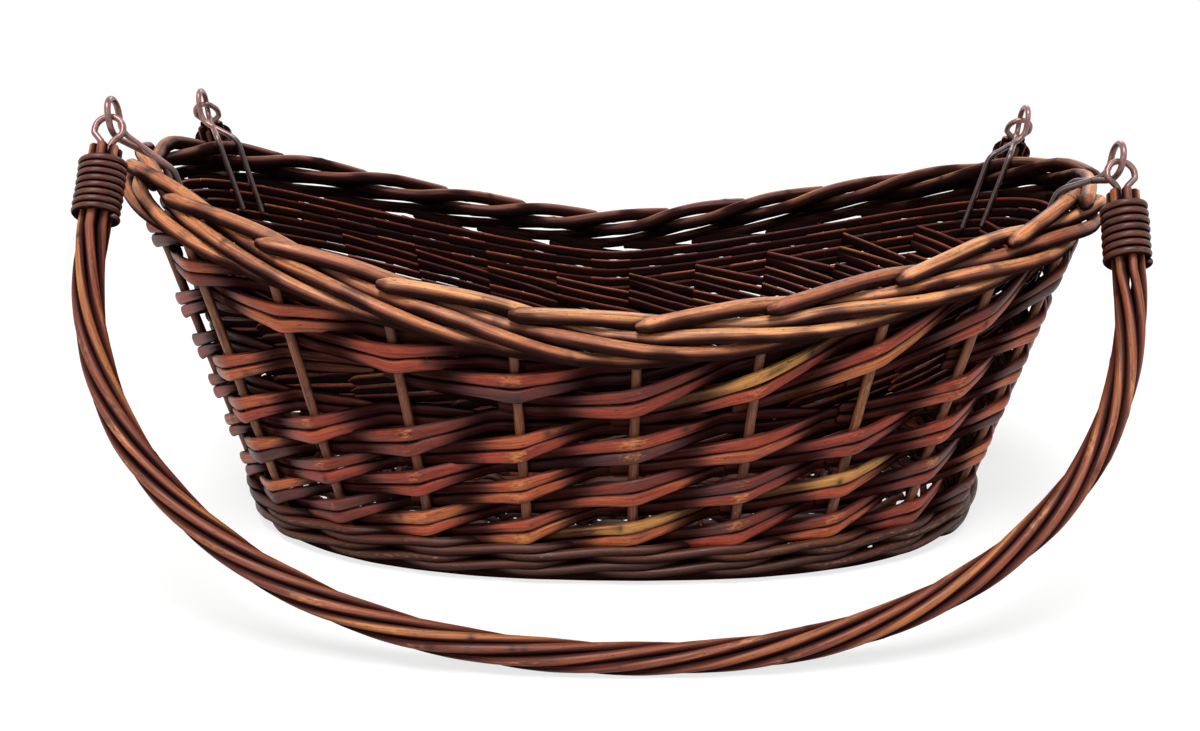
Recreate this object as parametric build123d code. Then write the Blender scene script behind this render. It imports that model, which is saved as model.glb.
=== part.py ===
from build123d import *
import math
import os

os.makedirs("parts", exist_ok=True)

# A boat-shaped willow trug: +X runs to its right-hand end, -Y is the front, the base stands on Z 0,
# and the origin is the middle of the base's underside. Lengths are in millimetres.

# Oval of the rim, through the middle of the border braid, and oval of the base, through the stakes
rim_half_length = 235.0
rim_half_width = 130.0
rim_fullness = 2.2
base_half_length = 179.0
base_half_width = 112.0
base_fullness = 2.35
rim_middle_height = 119.0
rim_left_height = 175.0
rim_right_height = 168.0
rim_sweep_power = 1.44

# Stakes: the upright rods, set wider apart along the front than along the back
stake_count = 24
stake_diameter = 4.5
front_spread_share = 0.11
stake_shift_share = 0.62
weave_clearance = 0.3

# Weavers: split rods worked in pairs, each pair in at one stake, out at the next and in at the third
strand_height = 4.6
strand_thickness = 2.6
strand_gap = 0.6
top_tier_spread_share = 1.04
top_tier_room = 1.0
start_tail_share = 0.16
end_tail_share = 0.36
wrap_share = 0.06
tuck_share = 0.24

# Packing: short split strips laid inside the wall, along the rim, over the wedges that the level
# tiers leave under the sloping top tier
strip_height = 4.6
strip_thickness = 1.8
strip_spacing = 5.2
strip_drop = 9.5
strip_row_limit = 8
strip_gap_share = 0.03
strip_stagger_share = 0.5
strip_margin = 3.0
strip_clearance = 0.75

# Foot: a lowest ring that the basket stands on, and one round of two-layer waling above it
ring_diameter = 5.0
ring_flat_depth = 0.5
ring_points = 36
wale_diameter = 3.6
wale_layer_gap = 0.35
wale_tail_share = 0.2
wale_clearance = 0.8

# Base: split cross sticks, flat laths through their slits, and rounds of woven rods
cross_stick_diameter = 4.6
cross_stick_spacing = 22.0
cross_stick_pairs = 4
lath_width = 4.6
lath_thickness = 1.8
lath_spacing = 7.5
lath_bend_gap = 10.0
lath_fan_angle = 35.0
slit_clearance = 0.3
base_rod_diameter = 3.1
base_rod_clearance = 0.7
base_round_count = 16
base_inner_gap = 20.0
base_inner_half_width = 17.0
base_inner_fullness = 4.0
base_rod_lift = 0.3
base_end_gap = 1.2
base_closing_share = 0.8

# Border: one rod starts at each stake. Places across and up, in rod diameters, at each half space
border_diameter = 6.2
border_route_shares = (
    (0.33, 0.97),
    (-0.25, 1.26),
    (-0.87, 0.95),
    (-1.00, 0.01),
    (-0.12, -0.16),
    (0.65, 0.16),
    (1.15, -0.35),
    (1.03, -1.04),
    (0.46, -1.42),
    (-0.06, -1.61),
)
border_step_share = 0.5
border_clearance = 1.4

# Hairpins: wire loops that stand up from the rim and carry the handles
wire_diameter = 2.9
hairpin_width = 14.0
hairpin_turn = 25.0
hairpin_leg_length = 30.0
hairpin_edge_rise = 11.0
hairpin_knee_drop = 8.0
hairpin_bend_rise = 7.5
hairpin_lean_share = 0.1
hairpin_corner_radius = 6.8
hairpin_knee_radius = 9.0
hairpin_edge_radius = 8.0

# Hinge lines: each handle swings about the top wire of its two eyes
hinge_setback = 76.0
hinge_half_span = 226.0
front_hinge_left_height = 206.0
front_hinge_right_height = 190.0
rear_hinge_left_height = 197.0
rear_hinge_right_height = 192.0

# Handles: six long rods twisted round a core rod, laid as an arch
handle_depth = 228.0
handle_fullness = 2.2
handle_turns = 3
handle_rod_count = 6
handle_rod_diameter = 4.0
handle_ring_radius = 4.4
handle_end_radius = 4.95
handle_rod_start = 15.5
handle_run = 22.0
table_clearance = 0.3
handles_clearance = 0.6

# Eyes: teardrop loops of wire whose two legs run down the middle of the whipped ends
eye_half_width = 6.2
eye_leg_offset = 1.65
eye_neck_drop = 13.0
eye_shoulder_drop = 8.0
eye_leg_drop = 46.0
eye_top_radius = 6.1
eye_shoulder_radius = 6.0
eye_shoulder_share = 0.3

# Whippings: a thin withy wound round each end of a handle
whipping_diameter = 3.2
whipping_gap = 0.55
whipping_start = 21.0
whipping_left_turns = 8
whipping_right_turns = 7
whipping_clearance = 0.25
arcs_per_turn = 4
samples_per_arc = 3

bend_share = 0.45
tight_bend_share = 0.1
base_bend_share = 0.05
curve_samples = 720
small_turn = 1e-4
halving_steps = 40
end_zone_share = 0.72


def power(value, exponent):
    return math.copysign(abs(value) ** exponent, value)


def oval(half_length, half_width, fullness, angle):
    # A superellipse: round for a fullness of 2, squarer above it
    along = half_length * power(math.cos(angle), 2 / fullness)
    across = half_width * power(math.sin(angle), 2 / fullness)
    return Vector(along, across, 0)


def guide_height(angle):
    # The rim sweeps up from its middle to its two ends, a little higher on the left
    along = oval(rim_half_length, rim_half_width, rim_fullness, angle).X
    end_height = rim_left_height if along < 0 else rim_right_height
    sweep = abs(along / rim_half_length) ** rim_sweep_power
    return rim_middle_height + (end_height - rim_middle_height) * sweep


def wall_surface(angle, height):
    # Straight lines from the base oval to the rim oval
    low = oval(base_half_length, base_half_width, base_fullness, angle)
    high = oval(rim_half_length, rim_half_width, rim_fullness, angle)
    share = height / guide_height(angle)
    place = low + (high - low) * share
    return Vector(place.X, place.Y, height)


def wall_axes(angle, height):
    # The directions outward from the wall and up along it
    step = small_turn
    along = wall_surface(angle + step, height) - wall_surface(angle - step, height)
    low = oval(base_half_length, base_half_width, base_fullness, angle)
    high = oval(rim_half_length, rim_half_width, rim_fullness, angle)
    upward = Vector(high.X - low.X, high.Y - low.Y, guide_height(angle)).normalized()
    outward = along.cross(upward).normalized()
    return outward, upward


def wall_point(angle, height, outward_distance, upward_distance=0):
    outward, upward = wall_axes(angle, height)
    return wall_surface(angle, height) + outward * outward_distance + upward * upward_distance


def find_stake_angles():
    # Walks round the half-way oval and drops a stake at each equal share of the weighted length
    half_length = (base_half_length + rim_half_length) / 2
    half_width = (base_half_width + rim_half_width) / 2
    fullness = (base_fullness + rim_fullness) / 2
    angles = [2 * math.pi * k / curve_samples for k in range(curve_samples + 1)]
    places = [oval(half_length, half_width, fullness, angle) for angle in angles]
    lengths = [0]
    for k in range(curve_samples):
        middle = (angles[k] + angles[k + 1]) / 2
        weight = 1 + front_spread_share * math.sin(middle)
        lengths.append(lengths[-1] + (places[k + 1] - places[k]).length * weight)
    found = []
    k = 0
    for stake in range(stake_count):
        wanted = lengths[-1] * (stake + stake_shift_share) / stake_count
        while lengths[k + 1] < wanted:
            k += 1
        part = (wanted - lengths[k]) / (lengths[k + 1] - lengths[k])
        found.append(angles[k] + (angles[k + 1] - angles[k]) * part)
    return found


stake_angles = find_stake_angles()


def angle_at(place):
    # The oval angle at a place counted in stakes, whole or between two stakes
    lower = math.floor(place)
    turns, index = divmod(lower, stake_count)
    next_turns, next_index = divmod(lower + 1, stake_count)
    start = stake_angles[index] + 2 * math.pi * turns
    end = stake_angles[next_index] + 2 * math.pi * next_turns
    return start + (end - start) * (place - lower)


def corner_radii(points, share):
    # Each corner's arc takes the same share of the shorter run beside it
    radii = []
    for before, corner, after in zip(points, points[1:], points[2:]):
        turn = math.radians((corner - before).get_angle(after - corner))
        shorter = min((corner - before).length, (after - corner).length)
        radii.append(share * shorter / math.tan(turn / 2))
    return radii


def tube(points, diameter, share=bend_share, radii=None):
    # A round rod or wire along straight runs joined by tangent arcs
    path = FilletPolyline(*points, radius=radii or corner_radii(points, share))
    section = Plane(origin=path @ 0, z_dir=path % 0) * Circle(diameter / 2)
    return sweep(section, path=path)


def group(solids, label):
    made = Compound(children=[solid for item in solids for solid in item.solids()])
    made.label = label
    return made


# Border braid
border_bottom = -min(up for across, up in border_route_shares) * border_diameter + border_diameter / 2


def border_rod(stake):
    points = []
    for step, (across, up) in enumerate(border_route_shares):
        angle = angle_at(stake + step * border_step_share)
        height = guide_height(angle)
        points.append(wall_point(angle, height, across * border_diameter, up * border_diameter))
    return tube(points, border_diameter)


# Stakes
stake_foot = ring_diameter - ring_flat_depth + weave_clearance
stake_top_drop = -border_route_shares[-2][1] * border_diameter + border_diameter / 2 + border_clearance


def stake_rod(stake):
    angle = stake_angles[stake]
    bottom = wall_surface(angle, stake_foot)
    top = wall_point(angle, guide_height(angle), 0, -stake_top_drop)
    return Solid.make_cylinder(stake_diameter / 2, (top - bottom).length, Plane(bottom, z_dir=top - bottom))


# Foot ring
ring_height = ring_diameter / 2 - ring_flat_depth


def foot_ring():
    points = []
    for k in range(ring_points):
        angle = 2 * math.pi * (k + tight_bend_share) / ring_points
        points.append(wall_surface(angle, 0) + Vector(0, 0, ring_height))
    points.append(points[0] + (points[-1] - points[0]).normalized() * base_end_gap)
    rod = tube(points, ring_diameter)
    size = 2 * rim_half_length
    below = Pos(0, 0, -size / 2) * Box(size, size, size)
    return rod - below


# Foot waling: out round two stakes, in round the third, rising one layer on the way
wale_seat = stake_diameter / 2 + wale_clearance + wale_diameter / 2
wale_low = stake_foot + wale_diameter / 2
wale_high = wale_low + wale_diameter + wale_layer_gap
wale_top = wale_high + wale_diameter / 2


def wale_rod(stake):
    route = (
        (-wale_tail_share, -wale_seat, wale_low),
        (0, -wale_seat, wale_low),
        (1, wale_seat, wale_low),
        (2, wale_seat, wale_high),
        (3, -wale_seat, wale_high),
        (3 + wale_tail_share, -wale_seat, wale_high),
    )
    points = [wall_point(angle_at(stake + place), height, outward) for place, outward, height in route]
    return tube(points, wale_diameter, tight_bend_share)


# Weavers
half_pitch = 2 * (strand_height + strand_gap)
tier_pitch = 2 * half_pitch
pair_half_height = strand_height + strand_gap / 2
outside_seat = stake_diameter / 2 + weave_clearance + strand_thickness / 2
inside_seat = -outside_seat
tucked_seat = inside_seat - strand_thickness - weave_clearance
first_tier_height = wale_top + weave_clearance + pair_half_height + half_pitch * (1 - wrap_share)


def top_tier_height(place):
    top = guide_height(angle_at(place)) - border_bottom - weave_clearance
    return top - (half_pitch * (1 - tuck_share) + pair_half_height) * top_tier_spread_share


def tier_fits(stake, height):
    # A level pair is worked only where it clears the sloping top pairs beside it
    room = half_pitch * (1 + top_tier_spread_share) + top_tier_room
    return (
        height <= top_tier_height(stake) - room
        and height <= top_tier_height(stake + 1) - room
        and height <= top_tier_height(stake - 1) - half_pitch
    )


def half_round(centre, outward, upward):
    # A section across the wall: the bark side is round and faces out, the split side is flat
    inner = centre - outward * strand_thickness / 2
    upper = inner + upward * strand_height / 2
    lower = inner - upward * strand_height / 2
    crown = centre + outward * strand_thickness / 2
    return Wire([Edge.make_three_point_arc(upper, crown, lower), Edge.make_line(lower, upper)])


def strand(stake, level, rise, climb):
    # level gives a pair's height at a place, and rise moves one strand within its pair
    route = (
        (-1 - start_tail_share, inside_seat),
        (-1 + wrap_share, inside_seat),
        (-wrap_share, outside_seat),
        (wrap_share, outside_seat),
        (1 - tuck_share, tucked_seat),
        (1 + (end_tail_share - tuck_share) / 2, tucked_seat),
        (1 + end_tail_share, tucked_seat),
    )
    sections = []
    for place, outward_distance in route:
        angle = angle_at(stake + place)
        climbed = min(max(place, wrap_share - 1), 1 - tuck_share)
        height = level(stake + place) + climb * climbed + rise
        sections.append(half_round(wall_point(angle, height, outward_distance), *wall_axes(angle, height)))
    return Solid.make_loft(sections, ruled=True)


def strand_pair(stake, level, spread_share=1):
    rise = (strand_height + strand_gap) / 2 * spread_share
    climb = half_pitch * spread_share
    return [strand(stake, level, side * rise, climb) for side in (-1, 1)]


# Packing
strip_seat = tucked_seat - strand_thickness / 2 - strip_clearance - strip_thickness / 2


def packing_strip(place, row):
    # One strip for each stake and row, with the rows set off sideways from each other
    sections = []
    for share in (-0.5, 0, 0.5 - strip_gap_share):
        angle = angle_at(place + share)
        height = top_tier_height(place + share) - strip_drop - row * strip_spacing
        outward, upward = wall_axes(angle, height)
        across = outward * strip_thickness / 2
        along = upward * strip_height / 2
        centre = wall_point(angle, height, strip_seat)
        upper = [centre + along + across, centre + along - across]
        lower = [centre - along - across, centre - along + across]
        sections.append(Wire.make_polygon(upper + lower))
    return Solid.make_loft(sections, ruled=True)


def strip_needed(place, row, last_levels):
    # A strip is laid where it lies above the level tiers at its middle or at one of its ends
    for share in (-0.5, 0, 0.5):
        height = top_tier_height(place + share) - strip_drop - row * strip_spacing
        level = last_levels[round(place + share) % stake_count]
        if height > level + pair_half_height + strip_margin:
            return True
    return False


# Base
lath_bend_reach = cross_stick_pairs * cross_stick_spacing + lath_bend_gap
base_inner_half_length = lath_bend_reach + base_inner_gap
base_rod_reach = cross_stick_diameter / 2 + base_rod_clearance + base_rod_diameter / 2
stick_height = base_rod_lift + base_rod_diameter / 2 + base_rod_reach
stick_inset = wale_seat + wale_diameter / 2 + weave_clearance
round_inset = stick_inset + base_rod_diameter / 2
stick_half_length = base_half_length - stick_inset
stick_half_width = base_half_width - stick_inset
slit_width = 2 * lath_spacing + lath_width + 2 * slit_clearance


def oval_reach(along):
    # Half the width of the base inside its foot, at a place along it
    share = 1 - abs(along / stick_half_length) ** base_fullness
    return stick_half_width * share ** (1 / base_fullness)


def cross_stick(along):
    length = 2 * oval_reach(along)
    stick = Pos(along, 0, stick_height) * Rot(90, 0, 0) * Cylinder(cross_stick_diameter / 2, length)
    slit = Box(2 * cross_stick_diameter, slit_width, lath_thickness + 2 * slit_clearance)
    return stick - Pos(along, 0, stick_height) * slit


cross_stick_places = [cross_stick_spacing * k for k in range(-cross_stick_pairs, cross_stick_pairs + 1)]


def lath_line(row):
    # A lath runs straight through the slits and fans out at both ends
    offset = row * lath_spacing
    fan = math.radians(lath_fan_angle) * row
    direction = Vector(math.cos(fan), math.sin(fan), 0)
    start = Vector(lath_bend_reach, offset, 0)
    reach = 0
    while True:
        place = start + direction * (reach + base_rod_diameter)
        if abs(place.X) >= stick_half_length or abs(place.Y) > oval_reach(place.X):
            break
        reach += base_rod_diameter
    tip = start + direction * reach
    return [Vector(-tip.X, tip.Y, 0), Vector(-start.X, start.Y, 0), start, tip]


def lath(row):
    points = [point + Vector(0, 0, stick_height) for point in lath_line(row)]
    bodies = []
    for before, after in zip(points, points[1:]):
        place = Plane((before + after) / 2, x_dir=after - before, z_dir=(0, 0, 1))
        bodies.append(place * Box((after - before).length, lath_width, lath_thickness))
    joints = [Pos(point) * Cylinder(lath_width / 2, lath_thickness) for point in points[1:-1]]
    return Part() + bodies + joints


def round_crossings(half_length, half_width, fullness):
    # The oval angles at which one round passes a stick or a lath
    angles = []
    for along in cross_stick_places:
        if abs(along) < half_length - base_rod_diameter:
            angle = math.acos(abs(along / half_length) ** (fullness / 2))
            angle = angle if along >= 0 else math.pi - angle
            angles += [angle, 2 * math.pi - angle]
    for row in (-1, 0, 1):
        angle = lath_crossing(row, half_length, half_width, fullness)
        angles += [angle % (2 * math.pi), (math.pi - angle) % (2 * math.pi)]
    return sorted(angles)


def lath_crossing(row, half_length, half_width, fullness):
    # Bisects along the fanned end of a lath for the place where the round passes it
    start, tip = lath_line(row)[2:]
    near = 0
    far = 2
    for k in range(halving_steps):
        middle = (near + far) / 2
        place = start + (tip - start) * middle
        inside = abs(place.X / half_length) ** fullness + abs(place.Y / half_width) ** fullness < 1
        near, far = (middle, far) if inside else (near, middle)
    place = start + (tip - start) * near
    return math.atan2(power(place.Y / half_width, fullness / 2), power(place.X / half_length, fullness / 2))


def base_round(index):
    share = index / (base_round_count - 1)
    half_length = base_inner_half_length + (base_half_length - round_inset - base_inner_half_length) * share
    half_width = base_inner_half_width + (base_half_width - round_inset - base_inner_half_width) * share
    fullness = base_fullness + (base_inner_fullness - base_fullness) * (1 - share) ** 2
    angles = round_crossings(half_length, half_width, fullness)
    shift = (index * cross_stick_pairs) % len(angles)
    angles = angles[shift:] + [angle + 2 * math.pi for angle in angles[:shift]]
    points = []
    for k, angle in enumerate(angles):
        side = 1 if (k + shift + index) % 2 else -1
        place = oval(half_length, half_width, fullness, angle)
        points.append(place + Vector(0, 0, stick_height + side * base_rod_reach))
    closing = points[0] - points[-1]
    points.append(points[-1] + closing * (1 - base_end_gap / closing.length) * base_closing_share)
    return tube(points, base_rod_diameter, base_bend_share)


# Handles
def arch_point(turn):
    # Half a superellipse below the two straight legs: left leg, bottom, right leg
    along = -hinge_half_span * power(math.cos(turn), 2 / handle_fullness)
    down = leg_depth + (handle_depth - leg_depth) * power(math.sin(turn), 2 / handle_fullness)
    return along, down


def arch_stations():
    # Places along the arch with their directions: one long run in each whipped leg, even runs between
    samples = [arch_point(math.pi * k / curve_samples) for k in range(curve_samples + 1)]
    lengths = [0]
    for before, after in zip(samples, samples[1:]):
        lengths.append(lengths[-1] + math.dist(before, after))
    count = round(lengths[-1] / handle_run)
    places = [(0, -hinge_half_span, handle_rod_start, 0, 1)]
    k = 0
    for step in range(count + 1):
        wanted = lengths[-1] * step / count
        while k < len(lengths) - 2 and lengths[k + 1] < wanted:
            k += 1
        part = (wanted - lengths[k]) / (lengths[k + 1] - lengths[k])
        before = samples[k]
        after = samples[k + 1]
        along = before[0] + (after[0] - before[0]) * part
        down = before[1] + (after[1] - before[1]) * part
        span = math.dist(before, after)
        run = ((after[0] - before[0]) / span, (after[1] - before[1]) / span)
        places.append((straight_length + wanted, along, down, *run))
    total = lengths[-1] + 2 * straight_length
    places.append((total, hinge_half_span, handle_rod_start, 0, -1))
    return places, total


whipping_pitch = whipping_diameter + whipping_gap
whipping_length = whipping_left_turns * whipping_pitch + whipping_diameter
leg_depth = whipping_start + whipping_length
straight_length = leg_depth - handle_rod_start
stations, arch_length = arch_stations()
bundle_radius = handle_ring_radius + handle_rod_diameter / 2
end_bundle_radius = handle_end_radius + handle_rod_diameter / 2


class Handle:
    # One handle in its own plane: along the hinge line, down the arch, and out to the near side

    def __init__(self, side, left_height, right_height):
        self.side = side
        left = Vector(-hinge_half_span, side * hinge_setback, left_height)
        right = Vector(hinge_half_span, side * hinge_setback, right_height)
        self.middle = (left + right) / 2
        self.along = (right - left).normalized()
        self.lean = self.find_lean()
        self.down, self.out = self.plane_axes(self.lean)

    def plane_axes(self, lean):
        outward = Vector(0, self.side, 0)
        plumb = self.along.cross(outward)
        if plumb.Z > 0:
            plumb = plumb * -1
        down = plumb * math.cos(lean) + outward * math.sin(lean)
        out = outward * math.cos(lean) - plumb * math.sin(lean)
        return down, out

    def find_lean(self):
        # Bisects for the lean at which the arch just lies on the table
        near = 0
        far = math.pi / 2
        for k in range(halving_steps):
            lean = (near + far) / 2
            down, out = self.plane_axes(lean)
            heights = [(self.middle + self.along * s[1] + down * s[2]).Z for s in stations]
            low = min(heights) - bundle_radius - table_clearance
            near, far = (lean, far) if low < 0 else (near, lean)
        return lean

    def place(self, along, down, out=0):
        return self.middle + self.along * along + self.down * down + self.out * out

    def twisted_rod(self, index):
        points = []
        for length, along, down, run_along, run_down in stations:
            near_end = min(length, arch_length - length)
            fade = min(max(near_end - straight_length, 0) / straight_length, 1)
            radius = handle_end_radius + (handle_ring_radius - handle_end_radius) * fade
            twisted = min(max(length - straight_length, 0), arch_length - 2 * straight_length)
            laid = handle_turns * twisted / (arch_length - 2 * straight_length)
            turn = 2 * math.pi * (laid + (index + 0.5) / handle_rod_count)
            outer = radius * math.cos(turn)
            points.append(self.place(along - run_down * outer, down + run_along * outer, radius * math.sin(turn)))
        return tube(points, handle_rod_diameter)

    def core_rod(self):
        return tube([self.place(s[1], s[2]) for s in stations[2:-2]], handle_rod_diameter)

    def eye(self, end):
        centre = end * hinge_half_span
        half = (
            (eye_leg_offset, eye_leg_drop),
            (eye_leg_offset, eye_neck_drop),
            (eye_half_width, eye_shoulder_drop),
            (eye_half_width, 0),
        )
        points = [self.place(centre - across, down) for across, down in half]
        points += [self.place(centre + across, down) for across, down in reversed(half)]
        radii = [eye_shoulder_radius, eye_shoulder_share * eye_shoulder_radius, eye_top_radius]
        return tube(points, wire_diameter, radii=radii + radii[::-1])

    def whipping(self, end, turns):
        # A helix of quarter turns, each of two tangent arcs
        radius = end_bundle_radius + whipping_clearance + whipping_diameter / 2
        centre = end * hinge_half_span
        steps = turns * arcs_per_turn
        places = []
        directions = []
        for step in range(steps + 1):
            turn = 2 * math.pi * step / arcs_per_turn
            down = whipping_start + whipping_diameter / 2 + whipping_pitch * step / arcs_per_turn
            across = radius * math.cos(turn)
            out = radius * math.sin(turn)
            places.append(self.place(centre + across, down, out))
            slope = whipping_pitch / (2 * math.pi)
            run = self.along * -out + self.out * across + self.down * slope
            directions.append(run.normalized())
        edges = [Edge.make_line(places[0] - directions[0] * whipping_diameter, places[0])]
        for k in range(steps):
            edges += biarc(places[k], directions[k], places[k + 1], directions[k + 1])
        edges.append(Edge.make_line(places[-1], places[-1] + directions[-1] * whipping_diameter))
        path = Wire(edges)
        section = Plane(origin=path @ 0, z_dir=path % 0) * Circle(whipping_diameter / 2)
        gap = least_turn_gap(edges, turns)
        return sweep(section, path=path), gap


def arc_from(start, direction, end):
    # The arc that leaves start along direction and reaches end
    chord = end - start
    bisector = (direction.normalized() + chord.normalized()).normalized()
    half_turn = math.acos(min(direction.normalized().dot(chord.normalized()), 1))
    middle = start + bisector * chord.length / (2 * math.cos(half_turn / 2))
    return Edge.make_three_point_arc(start, middle, end)


def biarc(start, start_direction, end, end_direction):
    # Two arcs that meet with one tangent, with equal reaches from both ends
    chord = end - start
    total = start_direction + end_direction
    spread = 2 * (1 - start_direction.dot(end_direction))
    reach = (-chord.dot(total) + math.sqrt(chord.dot(total) ** 2 + spread * chord.dot(chord))) / spread
    meeting = (start + end + (start_direction - end_direction) * reach) / 2
    first = arc_from(start, start_direction, meeting)
    second = arc_from(end, end_direction * -1, meeting)
    return [first, Edge.make_three_point_arc(meeting, second @ 0.5, end)]


def least_turn_gap(edges, turns):
    # Measures from points on one turn to points on the next
    points = [edge @ (k / samples_per_arc) for edge in edges[1:-1] for k in range(samples_per_arc)]
    per_turn = len(points) // turns
    nearest = min(
        (points[k] - points[j]).length
        for k in range(len(points) - per_turn // 2)
        for j in range(k + per_turn // 2, min(k + 2 * per_turn, len(points)))
    )
    return nearest - whipping_diameter


def hairpin(handle, end):
    # Both legs run down inside the braid, lean out over it and close in a narrow bend
    angle = math.radians(hairpin_turn)
    angle = angle if end > 0 else math.pi - angle
    angle = angle * handle.side
    hinge = handle.place(end * hinge_half_span, 0)
    inner = -(max(abs(across) for across, up in border_route_shares[:4]) + 0.5) * border_diameter
    inner -= weave_clearance + wire_diameter / 2
    front = hinge.Y + handle.side * (wire_diameter + weave_clearance)
    legs = []
    for number, across in ((1, front), (-1, front - handle.side * hairpin_width)):
        spread = angle - number * handle.side * end * hairpin_width / 2 / wall_speed(angle)
        height = guide_height(spread)
        top_x = hinge.X + end * hairpin_lean_share * hairpin_bend_rise
        knee_x = hinge.X - end * hairpin_lean_share * hairpin_knee_drop
        legs.append([
            wall_point(spread, height, inner, -hairpin_leg_length),
            wall_point(spread, height, inner, hairpin_edge_rise),
            Vector(knee_x, across, hinge.Z - hairpin_knee_drop),
            Vector(top_x, across, hinge.Z + hairpin_bend_rise),
        ])
    radii = [hairpin_edge_radius, hairpin_knee_radius, hairpin_corner_radius]
    return tube(legs[0] + legs[1][::-1], wire_diameter, radii=radii + radii[::-1])


def wall_speed(angle):
    # Length along the rim for each radian of the oval angle
    before = wall_surface(angle - small_turn, guide_height(angle))
    after = wall_surface(angle + small_turn, guide_height(angle))
    return (after - before).length / (2 * small_turn)


front_handle = Handle(-1, front_hinge_left_height, front_hinge_right_height)
rear_handle = Handle(1, rear_hinge_left_height, rear_hinge_right_height)

nodes = {}


def side_of(stake):
    place = oval(rim_half_length, rim_half_width, rim_fullness, angle_at(stake))
    if abs(place.X) > rim_half_length * end_zone_share:
        return "left_end" if place.X < 0 else "right_end"
    return "front" if place.Y < 0 else "rear"


for side in ("front", "right_end", "rear", "left_end"):
    stakes = [stake for stake in range(stake_count) if side_of(stake) == side]
    nodes["stakes_" + side] = group([stake_rod(stake) for stake in stakes], "stakes_" + side)
for side in ("front", "right_end", "rear", "left_end"):
    stakes = [stake for stake in range(stake_count) if side_of(stake + 2) == side]
    nodes["border_rods_" + side] = group([border_rod(stake) for stake in stakes], "border_rods_" + side)

tier = 1
height = first_tier_height
last_levels = [0] * stake_count
while True:
    stakes = [stake for stake in range(stake_count) if tier_fits(stake, height)]
    if not stakes:
        break
    for stake in stakes:
        last_levels[stake] = height
    solids = [solid for stake in stakes for solid in strand_pair(stake, lambda place: height)]
    nodes[f"weavers_tier_{tier}"] = group(solids, f"weavers_tier_{tier}")
    print("tier", tier, "height", round(height, 1), "pairs", len(stakes))
    tier += 1
    height += tier_pitch
solids = []
for stake in range(stake_count):
    solids += strand_pair(stake, top_tier_height, top_tier_spread_share)
nodes["weavers_top_tier"] = group(solids, "weavers_top_tier")

solids = []
for row in range(strip_row_limit):
    for stake in range(stake_count):
        place = stake + (row % 2) * strip_stagger_share
        if strip_needed(place, row, last_levels):
            solids.append(packing_strip(place, row))
nodes["wall_packing"] = group(solids, "wall_packing")
print("packing strips", len(solids))

nodes["foot_ring"] = group([foot_ring()], "foot_ring")
nodes["foot_waling"] = group([wale_rod(stake) for stake in range(stake_count)], "foot_waling")
nodes["base_cross_sticks"] = group([cross_stick(along) for along in cross_stick_places], "base_cross_sticks")
nodes["base_laths"] = group([lath(row) for row in (-1, 0, 1)], "base_laths")
nodes["base_rounds"] = group([base_round(index) for index in range(base_round_count)], "base_rounds")

for name, handle in (("front", front_handle), ("rear", rear_handle)):
    nodes[f"{name}_handle_core"] = group([handle.core_rod()], f"{name}_handle_core")
    for index in range(handle_rod_count):
        label = f"{name}_handle_rod_{index + 1}"
        nodes[label] = group([handle.twisted_rod(index)], label)
    for end, end_name, turns in ((-1, "left", whipping_left_turns), (1, "right", whipping_right_turns)):
        winding, gap = handle.whipping(end, turns)
        print(name, end_name, "whipping: least gap between turns", round(gap, 2))
        nodes[f"{name}_{end_name}_whipping"] = group([winding], f"{name}_{end_name}_whipping")
        nodes[f"{name}_{end_name}_eye"] = group([handle.eye(end)], f"{name}_{end_name}_eye")
        nodes[f"{name}_{end_name}_hairpin"] = group([hairpin(handle, end)], f"{name}_{end_name}_hairpin")
    reach = (hinge_setback - bundle_radius - handles_clearance) / handle_depth
    swing = 180 - math.degrees(handle.lean) + math.degrees(math.asin(reach))
    print(name, "lean", round(math.degrees(handle.lean), 2), "swing", round(swing, 2))
    print(name, "hinge middle", handle.middle, "axis", handle.along)

for name, node in nodes.items():
    export_step(node, f"parts/{name}.step")
print(len(nodes), "nodes")
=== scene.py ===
import math
import bpy
import numpy as np
from mathutils import Matrix, Vector


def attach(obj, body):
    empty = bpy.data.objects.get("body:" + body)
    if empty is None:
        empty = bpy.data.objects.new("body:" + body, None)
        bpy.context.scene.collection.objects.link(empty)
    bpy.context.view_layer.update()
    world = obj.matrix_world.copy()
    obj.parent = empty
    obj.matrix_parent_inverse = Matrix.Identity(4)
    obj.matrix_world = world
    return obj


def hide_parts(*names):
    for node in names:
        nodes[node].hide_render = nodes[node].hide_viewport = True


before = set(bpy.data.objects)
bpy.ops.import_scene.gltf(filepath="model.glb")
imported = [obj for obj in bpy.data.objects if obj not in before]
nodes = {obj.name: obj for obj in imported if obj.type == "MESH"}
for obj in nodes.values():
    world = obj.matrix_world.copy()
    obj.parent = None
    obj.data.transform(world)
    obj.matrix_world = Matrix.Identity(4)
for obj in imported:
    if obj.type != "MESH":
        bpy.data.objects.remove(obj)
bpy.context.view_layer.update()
print("frame loaded:", len(nodes), "CAD nodes")

mm = 0.001
chance = np.random.default_rng(11)  # one seeded source for every small difference between rods

# Camera, from the photograph's own perspective

photo = {
    "widthPixels": 1200, "focalPixels": 1386.392, "sensorMm": 36.0,
    "placeMm": (-9.591, -700.0, 273.332),
    "yaw": 0.004, "pitch": 0.282, "roll": 0.009,  # radians
}


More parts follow.
